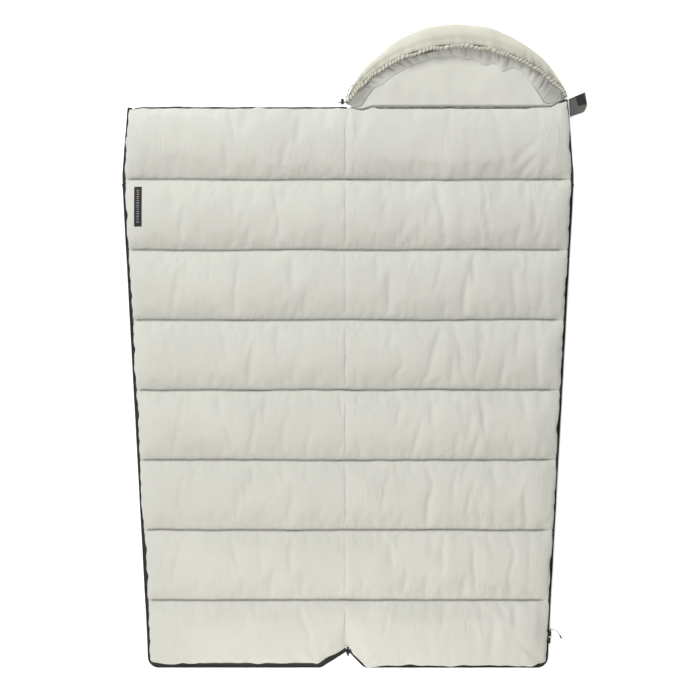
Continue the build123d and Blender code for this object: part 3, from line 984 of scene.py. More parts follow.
def make_quilting_stitches():
    """One thread stitch after another down each line, sunk a little into the cloth."""
    pitch = sizes().stitch_pitch
    bm = bmesh.new()
    for number in range(1, BAFFLES):
        reach = float(wall_x(HALF_LENGTH - PITCH * number)) - 3 * MM
        count = int(2 * reach / pitch)
        xs = -reach + (np.arange(count) + 0.5) * pitch
        ys = seam_line(number, xs)
        slopes = np.gradient(ys, xs)
        for x, y, slope in zip(xs, ys, slopes):
            z = height_at(x, y) + 0.35 * MM
            turn = Matrix.Rotation(math.atan(slope), 4, "Z")
            size = Matrix.Diagonal((pitch * 0.72, 0.75 * MM, 0.7 * MM, 1))
            bmesh.ops.create_cube(bm, size=1, matrix=Matrix.Translation((x, y, z)) @ turn @ size)
    stitches = piece("quilting_stitches", bm, finish("thread"))
    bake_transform(stitches)


# ---- zips ----------------------------------------------------------------------------
def map_cloth(obj, u, v):
    """Gives a strip its own map: distance along it and across it."""
    layer = obj.data.uv_layers.new(name="strip")
    corners = np.empty(len(obj.data.loops), dtype=np.int32)
    obj.data.loops.foreach_get("vertex_index", corners)
    layer.data.foreach_set(
        "uv", np.stack([u[corners], v[corners]], -1).astype(np.float32).reshape(-1)
    )


def strip_grid(start, end, step, inside, outside, columns):
    """Distances along and across a strip, for a grid of points."""
    count = max(2, int((end - start) / step))
    along = np.repeat(np.linspace(start, end, count + 1)[:, None], columns, 1)
    across = np.repeat(np.linspace(-inside, outside, columns)[None], count + 1, 0)
    return along, across


def zip_tape(half, name, start, end, nodes, seed):
    """A length of zip tape that ripples and sways a little towards its outer edge."""
    route = ZIP_ROUTES[half]
    along, across = strip_grid(start, end, 4 * MM, TAPE_WIDTH + 2 * MM, 0, 7)
    free = smooth(across, -TAPE_WIDTH, 0)
    ripple = waves(along, across * 0, seed, 85 * MM, 7) * 0.5 * MM * free
    sway = waves(along, across * 0, seed + 3, 140 * MM, 6) * 0.6 * MM * free
    points = route.lay(along, across + sway, TAPE_LEVEL + ripple)
    if half == "front":
        points = points[:, ::-1]
        along, across = along[:, ::-1], across[:, ::-1]
    bm = bmesh.new()
    add_grid(bm, points)
    tape = piece(name, bm, finish("tape"))
    map_cloth(tape, along.reshape(-1), across.reshape(-1))
    if sum(p.normal.z for p in list(tape.data.polygons)[:20]) < 0:
        tape.data.flip_normals()
    wall = tape.modifiers.new("thickness", "SOLIDIFY")
    wall.thickness, wall.offset = 0.8 * MM, 0
    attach(tape, HALF_BODIES[half])
    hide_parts(*nodes)


COIL_BATCH = 12
COIL_INSET = -1.2 * MM
COIL_WIDTH = 1.9
COIL_LEVEL = 6.1 * MM


def coil_batch(pitch):
    """A few turns of the coil, wound along X from the origin."""
    steps = 7
    bm = bmesh.new()
    thread = bmesh.ops.create_circle(bm, cap_ends=False, segments=4, radius=0.42 * MM)["verts"]
    upright = Matrix.Translation((0, 0, 1.0 * MM)) @ Matrix.Rotation(math.pi / 2, 4, "X")
    bmesh.ops.transform(bm, matrix=upright, verts=thread)
    bmesh.ops.spin(
        bm,
        geom=thread + bm.edges[:],
        cent=(0, 0, 0),
        axis=(1, 0, 0),
        dvec=(pitch / steps, 0, 0),
        angle=2 * math.pi * COIL_BATCH,
        steps=steps * COIL_BATCH,
        use_merge=False,
    )
    bmesh.ops.holes_fill(bm, edges=[edge for edge in bm.edges if edge.is_boundary], sides=4)
    bmesh.ops.recalc_face_normals(bm, faces=bm.faces[:])
    batch = bpy.data.meshes.new("coil_batch")
    bm.to_mesh(batch)
    bm.free()
    return batch


def zip_coil(half, name, start, end, nodes):
    """The coil that forms the teeth: a monofilament wound along the tape's edge."""
    pitch = sizes().coil_pitch
    batch = coil_batch(pitch)
    bm = bmesh.new()
    for number in range(int((end - start) / (pitch * COIL_BATCH))):
        bm.verts.ensure_lookup_table()
        before = len(bm.verts)
        bm.from_mesh(batch)
        bm.verts.ensure_lookup_table()
        bmesh.ops.translate(bm, vec=(number * pitch * COIL_BATCH, 0, 0), verts=bm.verts[before:])
    bpy.data.meshes.remove(batch)
    coil = piece(name, bm, finish("coil"))
    spots = coordinates(coil).astype(float)
    across = COIL_INSET + spots[:, 1] * COIL_WIDTH
    up = COIL_LEVEL + spots[:, 2]
    placed = ZIP_ROUTES[half].lay(start + spots[:, 0], across, up)
    coil.data.vertices.foreach_set("co", placed.astype(np.float32).reshape(-1))
    if half == "front":
        coil.data.flip_normals()
    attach(coil, HALF_BODIES[half])
    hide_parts(*nodes)


SIDE_TEETH_REACH = 1.545


def make_zips():
    """The side zip runs to where the edge turns under the foot, and the foot zip from there."""
    for half, seed in (("back", 71), ("front", 83)):
        route = ZIP_ROUTES[half]
        side_end = float(route.marks[SHOULDER_STEPS + 1])
        top_stop = side_end - SIDE_TEETH_REACH
        zip_tape(half, f"side_tape_cloth_{half}", 0, side_end, [f"side_tape_{half}"], seed)
        zip_tape(
            half,
            f"foot_tape_cloth_{half}",
            side_end,
            route.length - 3.5 * MM,
            [f"foot_tape_{half}"],
            seed + 5,
        )
        zip_coil(
            half, f"side_coil_teeth_{half}", top_stop, side_end - 14 * MM, [f"side_coil_{half}"]
        )
        zip_coil(
            half,
            f"foot_coil_teeth_{half}",
            side_end + 10 * MM,
            route.length - 10 * MM,
            [f"foot_coil_{half}"],
        )


# ---- bindings ------------------------------------------------------------------------
def binding_strip(name, points, body, nodes, seed, width=4.6 * MM, height=4.4 * MM):
    """Folded tape round a raw edge, a soft half-round that ripples with the cloth it closes."""
    route = Route(np.array(points), 1)
    count = int(route.length / (5 * MM))
    around = 9
    along = np.repeat(np.linspace(0, route.length, count + 1)[:, None], around, 1)
    angle = np.repeat(np.linspace(0, 2 * math.pi, around)[None], count + 1, 0)
    ripple = 1 + 0.12 * waves(along, angle * 0, seed, 26 * MM, 8)
    sway = 0.9 * MM * waves(along, angle * 0, seed + 4, 70 * MM, 7) * smooth(along, 0, 30 * MM)
    across = np.cos(angle) * width / 2 * ripple + (sway if body == "front_half" else 0)
    up = (
        3.1 * MM
        + np.sin(angle) * height / 2 * ripple
        + 0.5 * MM * waves(along, angle * 0, seed + 2, 150 * MM, 5)
    )
    bm = bmesh.new()
    add_grid(bm, route.lay(along, across, np.maximum(up, 0.4 * MM)))
    close_skin(bm)
    strip = piece(name, bm, finish("binding"))
    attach(strip, body)
    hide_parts(*nodes)


def make_bindings():
    """Binds the head edge of the front half and the neck seam of the back half."""
    level = HALF_LENGTH - BINDING / 2
    head = [
        (-733 * MM, level - 9 * MM),
        (-715 * MM, level - 2 * MM),
        (-690 * MM, level + MM),
        (-3 * MM, level),
    ]
    binding_strip(
        "head_binding_tape", head, "front_half", ["head_binding_front"], 91, width=6 * MM
    )
    rise = (733 * MM - NECK_BEND_X) * 32 / 58
    neck = [(x * MM, level - float(neck_dip(x * MM))) for x in (3, 14, 30, 47, 62, 84, 110)]
    neck += [(NECK_BEND_X, level), (733 * MM, level + rise)]
    binding_strip("neck_seam_tape", neck, "back_half", ["neck_seam_binding"], 95)


# ---- the hood ------------------------------------------------------------------------
def hood_place(x, y, z):
    """From the hood's own axes, with X along its mouth, to the frame."""
    c, s = math.cos(HOOD_TURN), math.sin(HOOD_TURN)
    return np.stack(
        [HOOD_MIDDLE[0] + x * c - y * s, HOOD_MIDDLE[1] + x * s + y * c, z + np.zeros_like(x)], -1
    )


def bow(u, half, rise):
    """A point on the arc over a chord, u from -1 at one tip to 1 at the other."""
    radius = (half**2 + rise**2) / (2 * rise)
    reach = math.asin(min(1.0, half / radius))
    if rise > half:
        reach = math.pi - reach
    angle = u * reach
    return radius * np.sin(angle), radius * (np.cos(angle) - math.cos(reach))


def lean_angle(inset):
    """How far the rim leans to reach the hem, and how flat its cross-section is."""
    squash = (HOOD_DOME - inset) / (HOOD_RISE - inset)
    return math.atan(math.tan(HEM_TILT) / squash), squash


def rim_points(u, climb, inset):
    """A point of the hood's rolled rim: climb is 0 at the floor and 1 at the hem."""
    lean, squash = lean_angle(inset)
    x, reach = bow(u, HOOD_HALF - inset, HOOD_RISE - inset)
    skirt = np.clip(climb / 0.12, 0, 1)
    angle = np.clip((climb - 0.12) / 0.88, 0, 1) * lean
    z = 1.2 * MM + (HOOD_MOUTH_LEVEL - 1.2 * MM) * skirt + squash * reach * np.sin(angle)
    return x, reach * np.cos(angle), z


HEM_STATIONS = 430
HEM_HALF_LENGTH = 0.52
# place along the hem from -1 to 1, then X and Y in millimetres
INNER_FOOT = [
    (-1.0, -9, 962.5),
    (-0.985, 4, 957.5),
    (-0.965, 26, 951.5),
    (-0.935, 44, 949.5),
    (-0.90, 54, 963),
    (-0.85, 70, 990),
    (-0.79, 90, 1016),
    (-0.72, 112, 1022),
    (-0.60, 150, 1054),
    (-0.47, 200, 1082),
    (-0.36, 232, 1098),
    (-0.20, 290, 1119),
    (0.0, 366, 1126),
    (0.08, 398, 1108),
    (0.14, 432, 1116),
    (0.22, 462, 1088),
    (0.28, 500, 1101),
    (0.36, 522, 1066),
    (0.44, 562, 1084),
    (0.55, 600, 1062),
    (0.64, 618, 1036),
    (0.72, 634, 1012),
    (0.80, 650, 988),
    (0.88, 664, 962),
    (0.93, 690, 962),
    (0.97, 722, 973),
    (1.0, 745, 985),
]


def inner_foot(u):
    """Where the hood's lining wall meets its back panel, for a place along the hem."""
    table = np.array(INNER_FOOT)
    near = np.linspace(-0.022, 0.022, 7)
    x = np.mean([np.interp(u + step, table[:, 0], table[:, 1]) for step in near], axis=0) * MM
    y = np.mean([np.interp(u + step, table[:, 0], table[:, 2]) for step in near], axis=0) * MM
    return x, y


def panel_height(x, y):
    """Height of the hood's back panel under a point, or of its floor beyond the panel."""
    return drop_on("panel", x, y, 1.6 * MM)


def gathers(distance, seed, length):
    """Gathers with rounded crests and sharp valleys, 0 in a valley and 1 on a crest."""
    phase = distance / length * math.pi + 1.1 * waves(distance, distance * 0, seed, length * 5, 6)
    return np.abs(np.sin(phase)) ** 0.7


def make_hood_rim():
    """The puffed rim: outer cloth up to the hem, and the lining wall back down to the panel."""
    outer_rows, inner_rows = 22, 22
    line = np.linspace(-1, 1, HEM_STATIONS + 1)
    u = np.repeat(line[None], outer_rows, 0)
    climb = np.linspace(0, 1, outer_rows)[:, None] + np.zeros_like(u)
    x, y, z = rim_points(u, climb, 0.0)
    distance = u * HEM_HALF_LENGTH
    fade = np.clip((1 - np.abs(u)) / 0.06, 0, 1)
    tips = smooth(np.abs(u), 0.55, 0.92)
    fine = gathers(distance + 0.004 * np.sin(climb * 9), 101, 12 * MM) - 0.6
    coarse = waves(distance, climb * 0.05, 107, 52 * MM, 9)
    bunch = np.clip(0.55 + 0.6 * waves(distance, climb * 0, 109, 160 * MM, 6), 0.1, 1.4)
    depth = MM * (
        3.0 * fine * climb**9 * bunch
        + coarse * bunch * (4.4 * climb**3.2 + 2.6 * tips * climb**1.5)
    )
    belly = MM * (
        7.5 * np.sin(np.clip(climb / 0.82, 0, 1) * math.pi) ** 0.9
        - 6.5 * np.exp(-(((climb - 0.87) / 0.10) ** 2))
    )
    broad = MM * 3.2 * waves(distance, climb * 0.12, 113, 150 * MM, 7) * np.sin(climb * math.pi)
    push = (depth + broad) * fade + belly * np.clip(fade * 1.2, 0, 1)
    angle = 0.35 + climb * 0.75
    y = y + push * np.cos(angle) * (1 - 0.75 * (climb < 0.02))
    z = z + push * np.sin(angle)
    outside = hood_place(x, y, np.maximum(z, 1.2 * MM))
    crest = outside[-1]
    foot_x, foot_y = inner_foot(line)
    down = np.linspace(0, 1, inner_rows + 1)[1:, None]
    lean = down ** 0.85
    wall = np.empty((inner_rows, len(line), 3))
    top = crest.copy()
    top[:, 2] -= 1.5 * MM
    ripple = gathers((line * HEM_HALF_LENGTH)[None] + 0.003 * np.sin(down * 7), 171, 19 * MM) - 0.6
    broad_fold = gathers(line * HEM_HALF_LENGTH + 0.02, 173, 46 * MM)[None] - 0.6
    hang = np.sin(np.clip(down, 0, 1) * math.pi)
    wall[..., 0] = top[None, :, 0] + (foot_x - top[:, 0])[None] * lean
    wall[..., 1] = top[None, :, 1] + (foot_y - top[:, 1])[None] * lean
    padding = np.vectorize(panel_height, otypes=[float])(wall[..., 0], wall[..., 1])
    level = padding[-1] + 0.6 * MM
    sink = (1 - down) ** 1.15
    wall[..., 2] = level[None] + (top[None, :, 2] - level[None]) * sink
    ends = smooth(-line, 0.68, 0.86) + smooth(line, 0.60, 0.78)
    relief = MM * (
        3.2 * ripple * (1 - down) ** (1.2 - 0.7 * ends[None])
        + (5.5 - 2.0 * ends[None]) * broad_fold * hang
    )
    relief *= np.clip((1 - np.abs(line)) / 0.04, 0, 1)[None]
    wall[..., 2] += relief * 0.9
    wall[..., 1] -= relief * 0.35
    wall[..., 2] = np.maximum(wall[..., 2], padding + 0.8 * MM * (1 - down**6))
    back = outside[0].copy()
    steps = np.linspace(0, 1, 5)[1:, None, None]
    under_start = wall[-1]
    under = under_start[None] + (back - under_start)[None] * steps
    under[:-1, :, 2] = np.minimum(under[:-1, :, 2], 2.0 * MM)
    points = np.concatenate([outside, wall, under])
    bm = bmesh.new()
    add_grid(bm, points)
    close_skin(bm, 0.02 * MM)
    rim = piece("hood_rim", bm, finish("hood_shell"), finish("hood_lining"))
    shade_folds(rim, points, outer_rows, fine, coarse, ripple, broad_fold, climb, down, ends)
    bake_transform(rim)
    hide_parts("hood_rim_shell", "hood_rim_batt", "hood_rim_lining")
    return rim


def shade_folds(rim, points, outer_rows, fine, coarse, ripple, broad_fold, climb, down, ends):
    """Stores painted shade for the material: darker in fold valleys, in bands beside the hem and
    on the gathered ends. Also gives the inner wall its lining.
    """
    outer_painted_shade = np.clip(-fine, 0, 1) * climb**14 + np.clip(-coarse, 0, 1) * climb**4 * 0.30
    # Painted shadow: darker bands on the outer cloth just below the hem.
    outer_painted_shade += (
        0.5 * np.exp(-(((climb - 0.95) / 0.05) ** 2))
        + 0.16 * np.exp(-(((climb - 0.86) / 0.10) ** 2))
    )
    inner_painted_shade = (
        np.clip(-ripple, 0, 1) * (1 - down) ** 1.3
        + np.clip(-broad_fold, 0, 1) * np.sin(down * math.pi) * 0.9
    )
    foot = np.exp(-(((down - 1) / 0.06) ** 2)) * (0.10 + 0.85 * ends[None])
    left_end = smooth(-np.linspace(-1, 1, points.shape[1]), 0.68, 0.86)[None]
    # Painted shadow under the hem on the lining wall, a painted dark line at the wall's foot, and
    # painted shade on the gathered ends, most on the left.
    inner_painted_shade = (
        0.85 * inner_painted_shade + 0.9 * (1 - down) ** 1.2 + foot + 0.38 * ends[None] + 0.2 * left_end
    )
    blank = np.zeros((len(points) - outer_rows - len(down), points.shape[1]))
    marks = np.concatenate([outer_painted_shade, inner_painted_shade, blank]).reshape(-1)
    inside = (
        np.concatenate([np.zeros(outer_painted_shade.shape), np.ones(inner_painted_shade.shape), blank]).reshape(-1)
    )
    nearest = nearest_points(rim, points)
    store(rim, "fold", np.clip(marks[nearest], 0, 1))
    is_inside = inside[nearest]
    for face in rim.data.polygons:
        if np.mean(is_inside[list(face.vertices)]) > 0.6:
            face.material_index = 1


def hem_frame(u):
    """A point on the middle of the hem, and the rise of the hem's arc."""
    lean, squash = lean_angle(0.0)
    rise = HOOD_RISE * math.hypot(math.cos(lean), squash * math.sin(lean)) - RIM_THICKNESS / 2
    x, reach = bow(u, HOOD_HALF, rise)
    return x, reach * math.cos(HEM_TILT), HOOD_MOUTH_LEVEL + reach * math.sin(HEM_TILT), rise


def mark_by_place(obj, points, values):
    """Stores a value for each vertex from the grid point nearest to it."""
    store(obj, "fold", np.asarray(values).reshape(-1)[nearest_points(obj, points)])


def make_hood_hem():
    """The hem that the drawcord runs in: a narrow tube, gathered all the way along."""
    bm = bmesh.new()
    length, around = 620, 12
    u = np.repeat(np.linspace(-1, 1, length + 1)[None], around + 1, 0)
    turn = np.repeat(np.linspace(0, 2 * math.pi, around + 1)[:, None], length + 1, 1)
    x, y, z, rise = hem_frame(u)
    radius_of_arc = (HOOD_HALF**2 + rise**2) / (2 * rise)
    angle = u * math.asin(HOOD_HALF / radius_of_arc)
    distance = angle * radius_of_arc
    twist = distance + turn * 2.2 * MM
    crest = gathers(twist, 131, 12.5 * MM)
    swell_along = waves(distance, turn * 0, 137, 40 * MM, 7)
    radius = (
        MM
        * (4.6 + 2.7 * crest + 0.7 * swell_along)
        * (0.55 + 0.45 * smooth(1 - np.abs(u), 0, 0.03))
    )
    out, up = np.cos(turn) * radius, np.sin(turn) * radius
    wander = MM * 2.0 * waves(distance, turn * 0, 139, 60 * MM, 6)
    px = x + np.sin(angle) * (out + wander)
    forward = np.cos(angle) * (out + wander)
    points = hood_place(
        px,
        y + forward * math.cos(HEM_TILT) - up * math.sin(HEM_TILT),
        z + up * math.cos(HEM_TILT) + forward * math.sin(HEM_TILT),
    )
    add_grid(bm, points)
    close_skin(bm)
    hem = piece("hood_hem", bm, finish("hem"))
    # Painted shade: darker in the valleys between the hem's gathers.
    mark_by_place(hem, points, 1 - crest)
    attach(hem, "hood")
    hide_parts("hood_hem_casing")


def make_hood_panel():
    """The half-moon pad at the back of the hood, and the floor cloth under it."""
    rows, cols = 46, 140
    v = np.repeat(np.linspace(0, 1, rows + 1)[:, None], cols + 1, 1)
    u = np.repeat(np.linspace(-1, 1, cols + 1)[None], rows + 1, 0)
    half = HOOD_HALF - 16 * MM
    x = half * np.sin(u * math.pi / 2 * 0.985) / math.sin(math.pi / 2 * 0.985)
    radius = ((HOOD_HALF - 3 * MM) ** 2 + (HOOD_RISE - 3 * MM) ** 2) / (2 * (HOOD_RISE - 3 * MM))
    far = np.sqrt(np.clip(radius**2 - x**2, 0, None)) - (radius - (HOOD_RISE - 3 * MM))
    flat = hood_place(x, x * 0, x * 0)
    slope = (COLLAR_CORNER[1] - HALF_LENGTH) / (COLLAR_CORNER[0] - NECK_BEND_X)
    neck = (
        HALF_LENGTH
        + 1.2 * MM
        - neck_dip(flat[..., 0])
        + np.clip(flat[..., 0] - NECK_BEND_X, 0, None) * slope
    )
    near = neck - flat[..., 1]
    y = near + (np.maximum(far, near + 2 * MM) - near) * v
    inward = np.minimum.reduce(
        [v * (far - near), (1 - v) * (far - near) * 1.2, (half - np.abs(x)) * 1.1]
    )
    dome = smooth(inward, 0, 6 * MM)
    soft = waves(x, y, 151, 130 * MM, 8) * 1.6 + waves(x, y, 157, 46 * MM, 8, 2.5) * 0.8
    radial = waves(np.arctan2(x, y + 156 * MM), x * 0, 163, 0.11, 8) * 1.5 * smooth(v, 0.35, 0.95)
    z = 1.4 * MM + dome * (
        10.5 * MM + MM * (soft + radial) + 5 * MM * np.sin(np.clip(v, 0, 1) * math.pi)
    )
    top = hood_place(x, y, z)
    low = hood_place(x, y, np.full_like(x, 0.3 * MM))
    edge = on_border(x.shape)
    low[edge] = top[edge]
    panel = pad_between("hood_panel", top, low, finish("hood_lining"), finish("shell"))
    spots = coordinates(panel)
    low_edge = HALF_LENGTH + 1.2 * MM - neck_dip(spots[:, 0])
    # Painted shade: darker along the panel's lower edge, towards the neck seam.
    store(panel, "fold", 0.3 * (1 - smooth(spots[:, 1] - low_edge, 1 * MM, 10 * MM)) ** 2)
    SURFACES["panel"] = BVHTree.FromObject(panel, bpy.context.evaluated_depsgraph_get())
    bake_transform(panel)
    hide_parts("hood_back_shell", "hood_back_batt", "hood_back_lining")


# ---- cords ---------------------------------------------------------------------------
def cord_line(name, route, diameter, material, body, nodes):
    """A free cord: one smooth spline on the route's points."""
    data = bpy.data.curves.new(name, "CURVE")
    data.dimensions = "3D"
    spline = data.splines.new("NURBS")
    spline.points.add(len(route) - 1)
    for point, place in zip(spline.points, route):
        point.co = (*place, 1)
    spline.order_u = 3
    spline.use_endpoint_u = True
    data.bevel_depth = diameter / 2
    data.bevel_resolution = 3
    data.resolution_u = 8
    data.use_fill_caps = True
    data.materials.append(material)
    cord = bpy.data.objects.new(name, data)
    bpy.context.scene.collection.objects.link(cord)
    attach(cord, body)
    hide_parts(*nodes)


def make_cords():
    """The two free cords: the end of the drawcord, and the cord on the zip pull."""
    cord_line(
        "tail_cord",
        TAIL_ROUTE,
        2 * MM,
        finish("cord"),
        "hood",
        ["drawcord_tail"],
    )
    cord_line(
        "puller_cord",
        PULL_CORD_ROUTE,
        2 * MM,
        finish("pull_cord"),
        "side_pull_cord",
        ["side_pull_cord"],
    )


# ---- label and tab -------------------------------------------------------------------
def drape_box(bm, x0, x1, y0, y1, lift, thick, step):
    """A thin rectangle laid on the quilt's upper cloth."""
    cols, rows = max(2, int((x1 - x0) / step)), max(2, int((y1 - y0) / step))
    xs = np.repeat(np.linspace(x0, x1, cols + 1)[None], rows + 1, 0)
    ys = np.repeat(np.linspace(y0, y1, rows + 1)[:, None], cols + 1, 1)
    zs = np.vectorize(height_at, otypes=[float])(xs, ys)
    top = np.stack([xs, ys, zs + lift + thick], -1)
    low = np.stack([xs, ys, zs + lift], -1)
    add_grid(bm, top)
    add_grid(bm, low, flip=True)
    bmesh.ops.bridge_loops(bm, edges=[edge for edge in bm.edges if edge.is_boundary])


def make_label():
    """A plain woven label by the edge, with rows of woven bars and no lettering."""
    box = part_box("side_label")
    x0, y0, x1, y1 = box[0][0], box[0][1], box[1][0], box[1][1]
    bm = bmesh.new()
    drape_box(bm, x0, x1, y0, y1, 0.35 * MM, 0.55 * MM, 4 * MM)
    bmesh.ops.recalc_face_normals(bm, faces=bm.faces[:])
    label = piece("side_label_cloth", bm, finish("label"))
    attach(label, "front_half")
    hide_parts("side_label")
    bm = bmesh.new()
    rng = np.random.default_rng(5)
    y = y0 + 12 * MM
    while y < y1 - 14 * MM:
        tall = rng.uniform(4.5, 9.0) * MM
        width = rng.uniform(7.5, 11.0) * MM
        middle = (x0 + x1) / 2 + rng.uniform(-0.6, 0.6) * MM
        drape_box(
            bm,
            middle - width / 2,
            middle + width / 2,
            y,
            y + tall * 0.5,
            0.8 * MM,
            0.35 * MM,
            2.5 * MM,
        )
        y += tall
    bmesh.ops.recalc_face_normals(bm, faces=bm.faces[:])
    marks = piece("side_label_marks", bm, finish("marks"))
    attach(marks, "front_half")


def stitch_run(bm, a, b, z, pitch=3.2 * MM, wide=0.6 * MM):
    """Short thread stitches from a to b at one level."""
    way = np.array(b) - np.array(a)
    count = max(1, int(np.linalg.norm(way) / pitch))
    turn = Matrix.Rotation(math.atan2(way[1], way[0]), 4, "Z")
    for step in range(count):
        spot = np.array(a) + way * (step + 0.5) / count
        size = Matrix.Diagonal((pitch * 0.7, wide, 0.45 * MM, 1))
        bmesh.ops.create_cube(bm, size=1, matrix=Matrix.Translation((*spot, z)) @ turn @ size)


PATCH_HALF = (13.4 * MM, 15.4 * MM)


def make_tab_stitching():
    """Thread round the hook patch and along the foot of the collar tab."""
    low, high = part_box("collar_tab_hook_patch")
    centre = np.array(((low[0] + high[0]) / 2, (low[1] + high[1]) / 2))
    way = math.atan2(237.5, -18)
    along = np.array((math.cos(way), math.sin(way)))
    turn = math.radians(12) + way - math.pi / 2
    signs = ((-1, -1), (1, -1), (1, 1), (-1, 1))
    corners = [centre + turned((x * PATCH_HALF[0], y * PATCH_HALF[1]), turn) for x, y in signs]
    bm = bmesh.new()
    for a, b in zip(corners, corners[1:] + corners[:1]):
        stitch_run(bm, a, b, high[2] + 0.1 * MM)
    web_low, web_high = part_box("collar_tab_webbing")
    foot = np.array((web_low[0] + 9 * MM, web_low[1] + 8 * MM))
    stitch_run(bm, foot, foot + along * 48 * MM, web_high[2] + 0.1 * MM)
    stitches = piece("collar_tab_stitching", bm, finish("dark_thread"))
    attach(stitches, "collar_tab")


NODE_FINISHES = {
    "collar_tab_webbing": "webbing",
    "collar_tab_hook_patch": "hooks",
    "tab_loop_patch": "loops",
    "cord_lock_barrel": "plastic",
    "cord_lock_plunger": "plastic",
    "cord_lock_spring": "metal",
    "drawcord_tail_knot": "cord",
    "drawcord_knots": "cord",
    "hood_drawcord": "cord",
    "hood_cord_eyelet": "metal",
    "foot_pull_tab": "metal",
    "foot_slider_body": "metal",
    "foot_zip_end_stop": "metal",
    "side_slider_body": "metal",
    "side_pull_tab": "metal",
    "side_pull_grip": "plastic",
    "side_top_stop_back": "metal",
    "side_top_stop_front": "metal",
    "side_zip_box": "zip_plastic",
    "side_zip_pin": "zip_plastic",
}


def finish_hard_parts():
    """Gives each moulded or metal part its own finish."""
    for name, look in NODE_FINISHES.items():
        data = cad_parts[name].data
        data.materials.clear()
        data.materials.append(finish(look))


# ---- stage ---------------------------------------------------------------------------
# name, place, what it points at, size in metres, power in watts, colour
LAMPS = [
    ("head_softbox", (-0.9, 5.2, 3.6), (0, -0.1, 0), 1.8, 240, (1, 1, 1)),
    ("foot_softbox", (-0.1, -2.15, 0.95), (0, -0.75, 0), 1.1, 20, (1.0, 0.95, 0.88)),
    ("left_softbox", (-4.4, 0.3, 5.6), (0, -0.1, 0), 2.4, 190, (1, 1, 1)),
]
SKY_STRENGTH = 0.50
FLOOR_GLOW = 0.4
FLOOR_HALF = 14
VIEW_CENTRE = (7 * MM, 127 * MM)
VIEW_WIDTH = 2.375
CAMERA_HEIGHT = 14.0


def make_stage():
    """A pale floor, an even sky and three soft lights."""
    bm = bmesh.new()
    bmesh.ops.create_grid(bm, x_segments=1, y_segments=1, size=FLOOR_HALF)
    n = Nodes("studio_floor")
    place = n.add("ShaderNodeTexCoord").outputs["Object"]
    cloudy = n.noise(place, 3.0, 2.0, 0.5)
    n.finish(n.mix(cloudy, (0.90, 0.90, 0.90), (0.92, 0.92, 0.92)), None, 0.9)
    n.shader.inputs["Emission Color"].default_value = (1, 1, 1, 1)
    n.shader.inputs["Emission Strength"].default_value = FLOOR_GLOW
    floor = piece("studio_floor", bm, n.material)
    world = bpy.context.scene.world or bpy.data.worlds.new("studio")
    bpy.context.scene.world = world
    world.use_nodes = True
    world.node_tree.nodes["Background"].inputs["Color"].default_value = (1, 1, 1, 1)
    world.node_tree.nodes["Background"].inputs["Strength"].default_value = SKY_STRENGTH
    bpy.context.scene.view_settings.view_transform = "Standard"
    for settings in LAMPS:
        lamp(*settings)


def lamp(name, place, target, size, power, colour):
    """A square soft light that faces its target."""
    data = bpy.data.lights.new(name, "AREA")
    data.size, data.energy, data.color = size, power, colour
    lamp_object = bpy.data.objects.new(name, data)
    lamp_object.location = place
    way = Vector(target) - Vector(place)
    lamp_object.rotation_euler = way.to_track_quat("-Z", "Y").to_euler()
    bpy.context.scene.collection.objects.link(lamp_object)


def make_camera():
    """A long lens straight above the quilt."""
    data = bpy.data.cameras.new("overhead_camera")
    camera = bpy.data.objects.new("overhead_camera", data)
    bpy.context.scene.collection.objects.link(camera)
    camera.location = (*VIEW_CENTRE, CAMERA_HEIGHT)
    data.sensor_width = 36
    data.lens = 36 * CAMERA_HEIGHT / VIEW_WIDTH
    data.clip_start, data.clip_end = 0.5, 60
    bpy.context.scene.camera = camera


# ---- operators, one for each group of pieces -----------------------------------------
class QUILT_OT_camera(Operator):
    """Looks straight down on the quilt"""

    bl_idname = "quilt.camera"
    bl_label = "Camera"

    def execute(self, context):
        make_camera()
        return {"FINISHED"}


class QUILT_OT_finishes(Operator):
    """Makes the cloths, tapes, cords and plastics"""

    bl_idname = "quilt.finishes"
    bl_label = "Finishes"

    def execute(self, context):
        make_finishes()
        return {"FINISHED"}


class QUILT_OT_cords(Operator):
    """Lays the drawcord tail and the zip puller's cord"""

    bl_idname = "quilt.cords"
    bl_label = "Free cords"

    def execute(self, context):
        make_cords()
        return {"FINISHED"}


class QUILT_OT_body(Operator):
    """Makes the eight filled channels with their lining and shell"""

    bl_idname = "quilt.body"
    bl_label = "Quilted body"

    def execute(self, context):
        make_quilt_body()
        return {"FINISHED"}


class QUILT_OT_stitches(Operator):
    """Sews the lines between channels"""

    bl_idname = "quilt.stitches"
    bl_label = "Quilting stitches"

    def execute(self, context):
        make_quilting_stitches()
        return {"FINISHED"}


class QUILT_OT_zips(Operator):
    """Makes the zip tapes and their coils"""

    bl_idname = "quilt.zips"
    bl_label = "Zips"

    def execute(self, context):
        make_zips()
        return {"FINISHED"}


class QUILT_OT_bindings(Operator):
    """Binds the head edge and the neck seam"""

    bl_idname = "quilt.bindings"
    bl_label = "Bindings"

    def execute(self, context):
        make_bindings()
        return {"FINISHED"}


class QUILT_OT_hood_panel(Operator):
    """Makes the half-moon pad of the hood"""

    bl_idname = "quilt.hood_panel"
    bl_label = "Hood panel"

    def execute(self, context):
        make_hood_panel()
        return {"FINISHED"}


class QUILT_OT_hood_rim(Operator):
    """Makes the puffed rim of the hood"""

    bl_idname = "quilt.hood_rim"
    bl_label = "Hood rim"

    def execute(self, context):
        make_hood_rim()
        return {"FINISHED"}


class QUILT_OT_hood_hem(Operator):
    """Makes the gathered hem that holds the drawcord"""

    bl_idname = "quilt.hood_hem"
    bl_label = "Hood hem"

    def execute(self, context):
        make_hood_hem()
        return {"FINISHED"}


class QUILT_OT_label(Operator):
    """Sews on the woven label"""

    bl_idname = "quilt.label"
    bl_label = "Label"

    def execute(self, context):
        make_label()
        return {"FINISHED"}


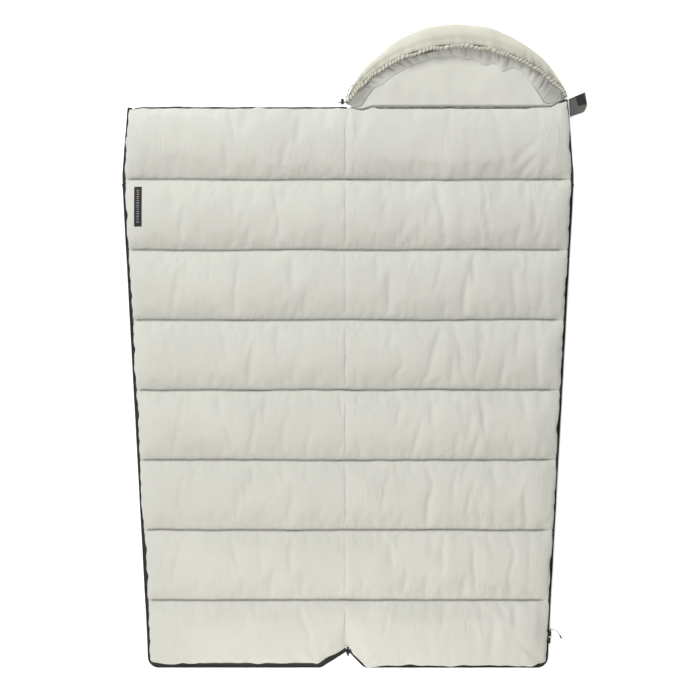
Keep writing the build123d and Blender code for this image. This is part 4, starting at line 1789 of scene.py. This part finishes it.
class QUILT_OT_tab(Operator):
    """Stitches the collar tab and its patch"""

    bl_idname = "quilt.tab"
    bl_label = "Collar tab"

    def execute(self, context):
        make_tab_stitching()
        return {"FINISHED"}


class QUILT_OT_hard_parts(Operator):
    """Finishes the sliders, stops, lock and other hard parts"""

    bl_idname = "quilt.hard_parts"
    bl_label = "Hard parts"

    def execute(self, context):
        finish_hard_parts()
        return {"FINISHED"}


class QUILT_OT_stage(Operator):
    """Sets the floor and the lights"""

    bl_idname = "quilt.stage"
    bl_label = "Stage"

    def execute(self, context):
        make_stage()
        return {"FINISHED"}


OPERATORS = [
    QUILT_OT_camera,
    QUILT_OT_finishes,
    QUILT_OT_cords,
    QUILT_OT_body,
    QUILT_OT_stitches,
    QUILT_OT_zips,
    QUILT_OT_bindings,
    QUILT_OT_hood_panel,
    QUILT_OT_hood_rim,
    QUILT_OT_hood_hem,
    QUILT_OT_label,
    QUILT_OT_tab,
    QUILT_OT_hard_parts,
    QUILT_OT_stage,
]


class QUILT_PT_builder(Panel):
    """Sizes, colours and the makers."""

    bl_label = "Camp quilt"
    bl_idname = "QUILT_PT_builder"
    bl_space_type = "VIEW_3D"
    bl_region_type = "UI"
    bl_category = "Camp quilt"

    def draw(self, context):
        for group in (context.scene.quilt_sizes, context.scene.quilt_colours):
            for key in group.__annotations__:
                self.layout.prop(group, key)
        for kind in OPERATORS:
            self.layout.operator(kind.bl_idname)


CLASSES = [QuiltSizes, QuiltColours, *OPERATORS, QUILT_PT_builder]


def register():
    for kind in CLASSES:
        bpy.utils.register_class(kind)
    bpy.types.Scene.quilt_sizes = PointerProperty(type=QuiltSizes)
    bpy.types.Scene.quilt_colours = PointerProperty(type=QuiltColours)


def unregister():
    del bpy.types.Scene.quilt_sizes
    del bpy.types.Scene.quilt_colours
    for kind in reversed(CLASSES):
        bpy.utils.unregister_class(kind)


def main():
    register()
    for kind in OPERATORS:
        group, name = kind.bl_idname.split(".")
        getattr(getattr(bpy.ops, group), name)()


if __name__ == "__main__":
    main()
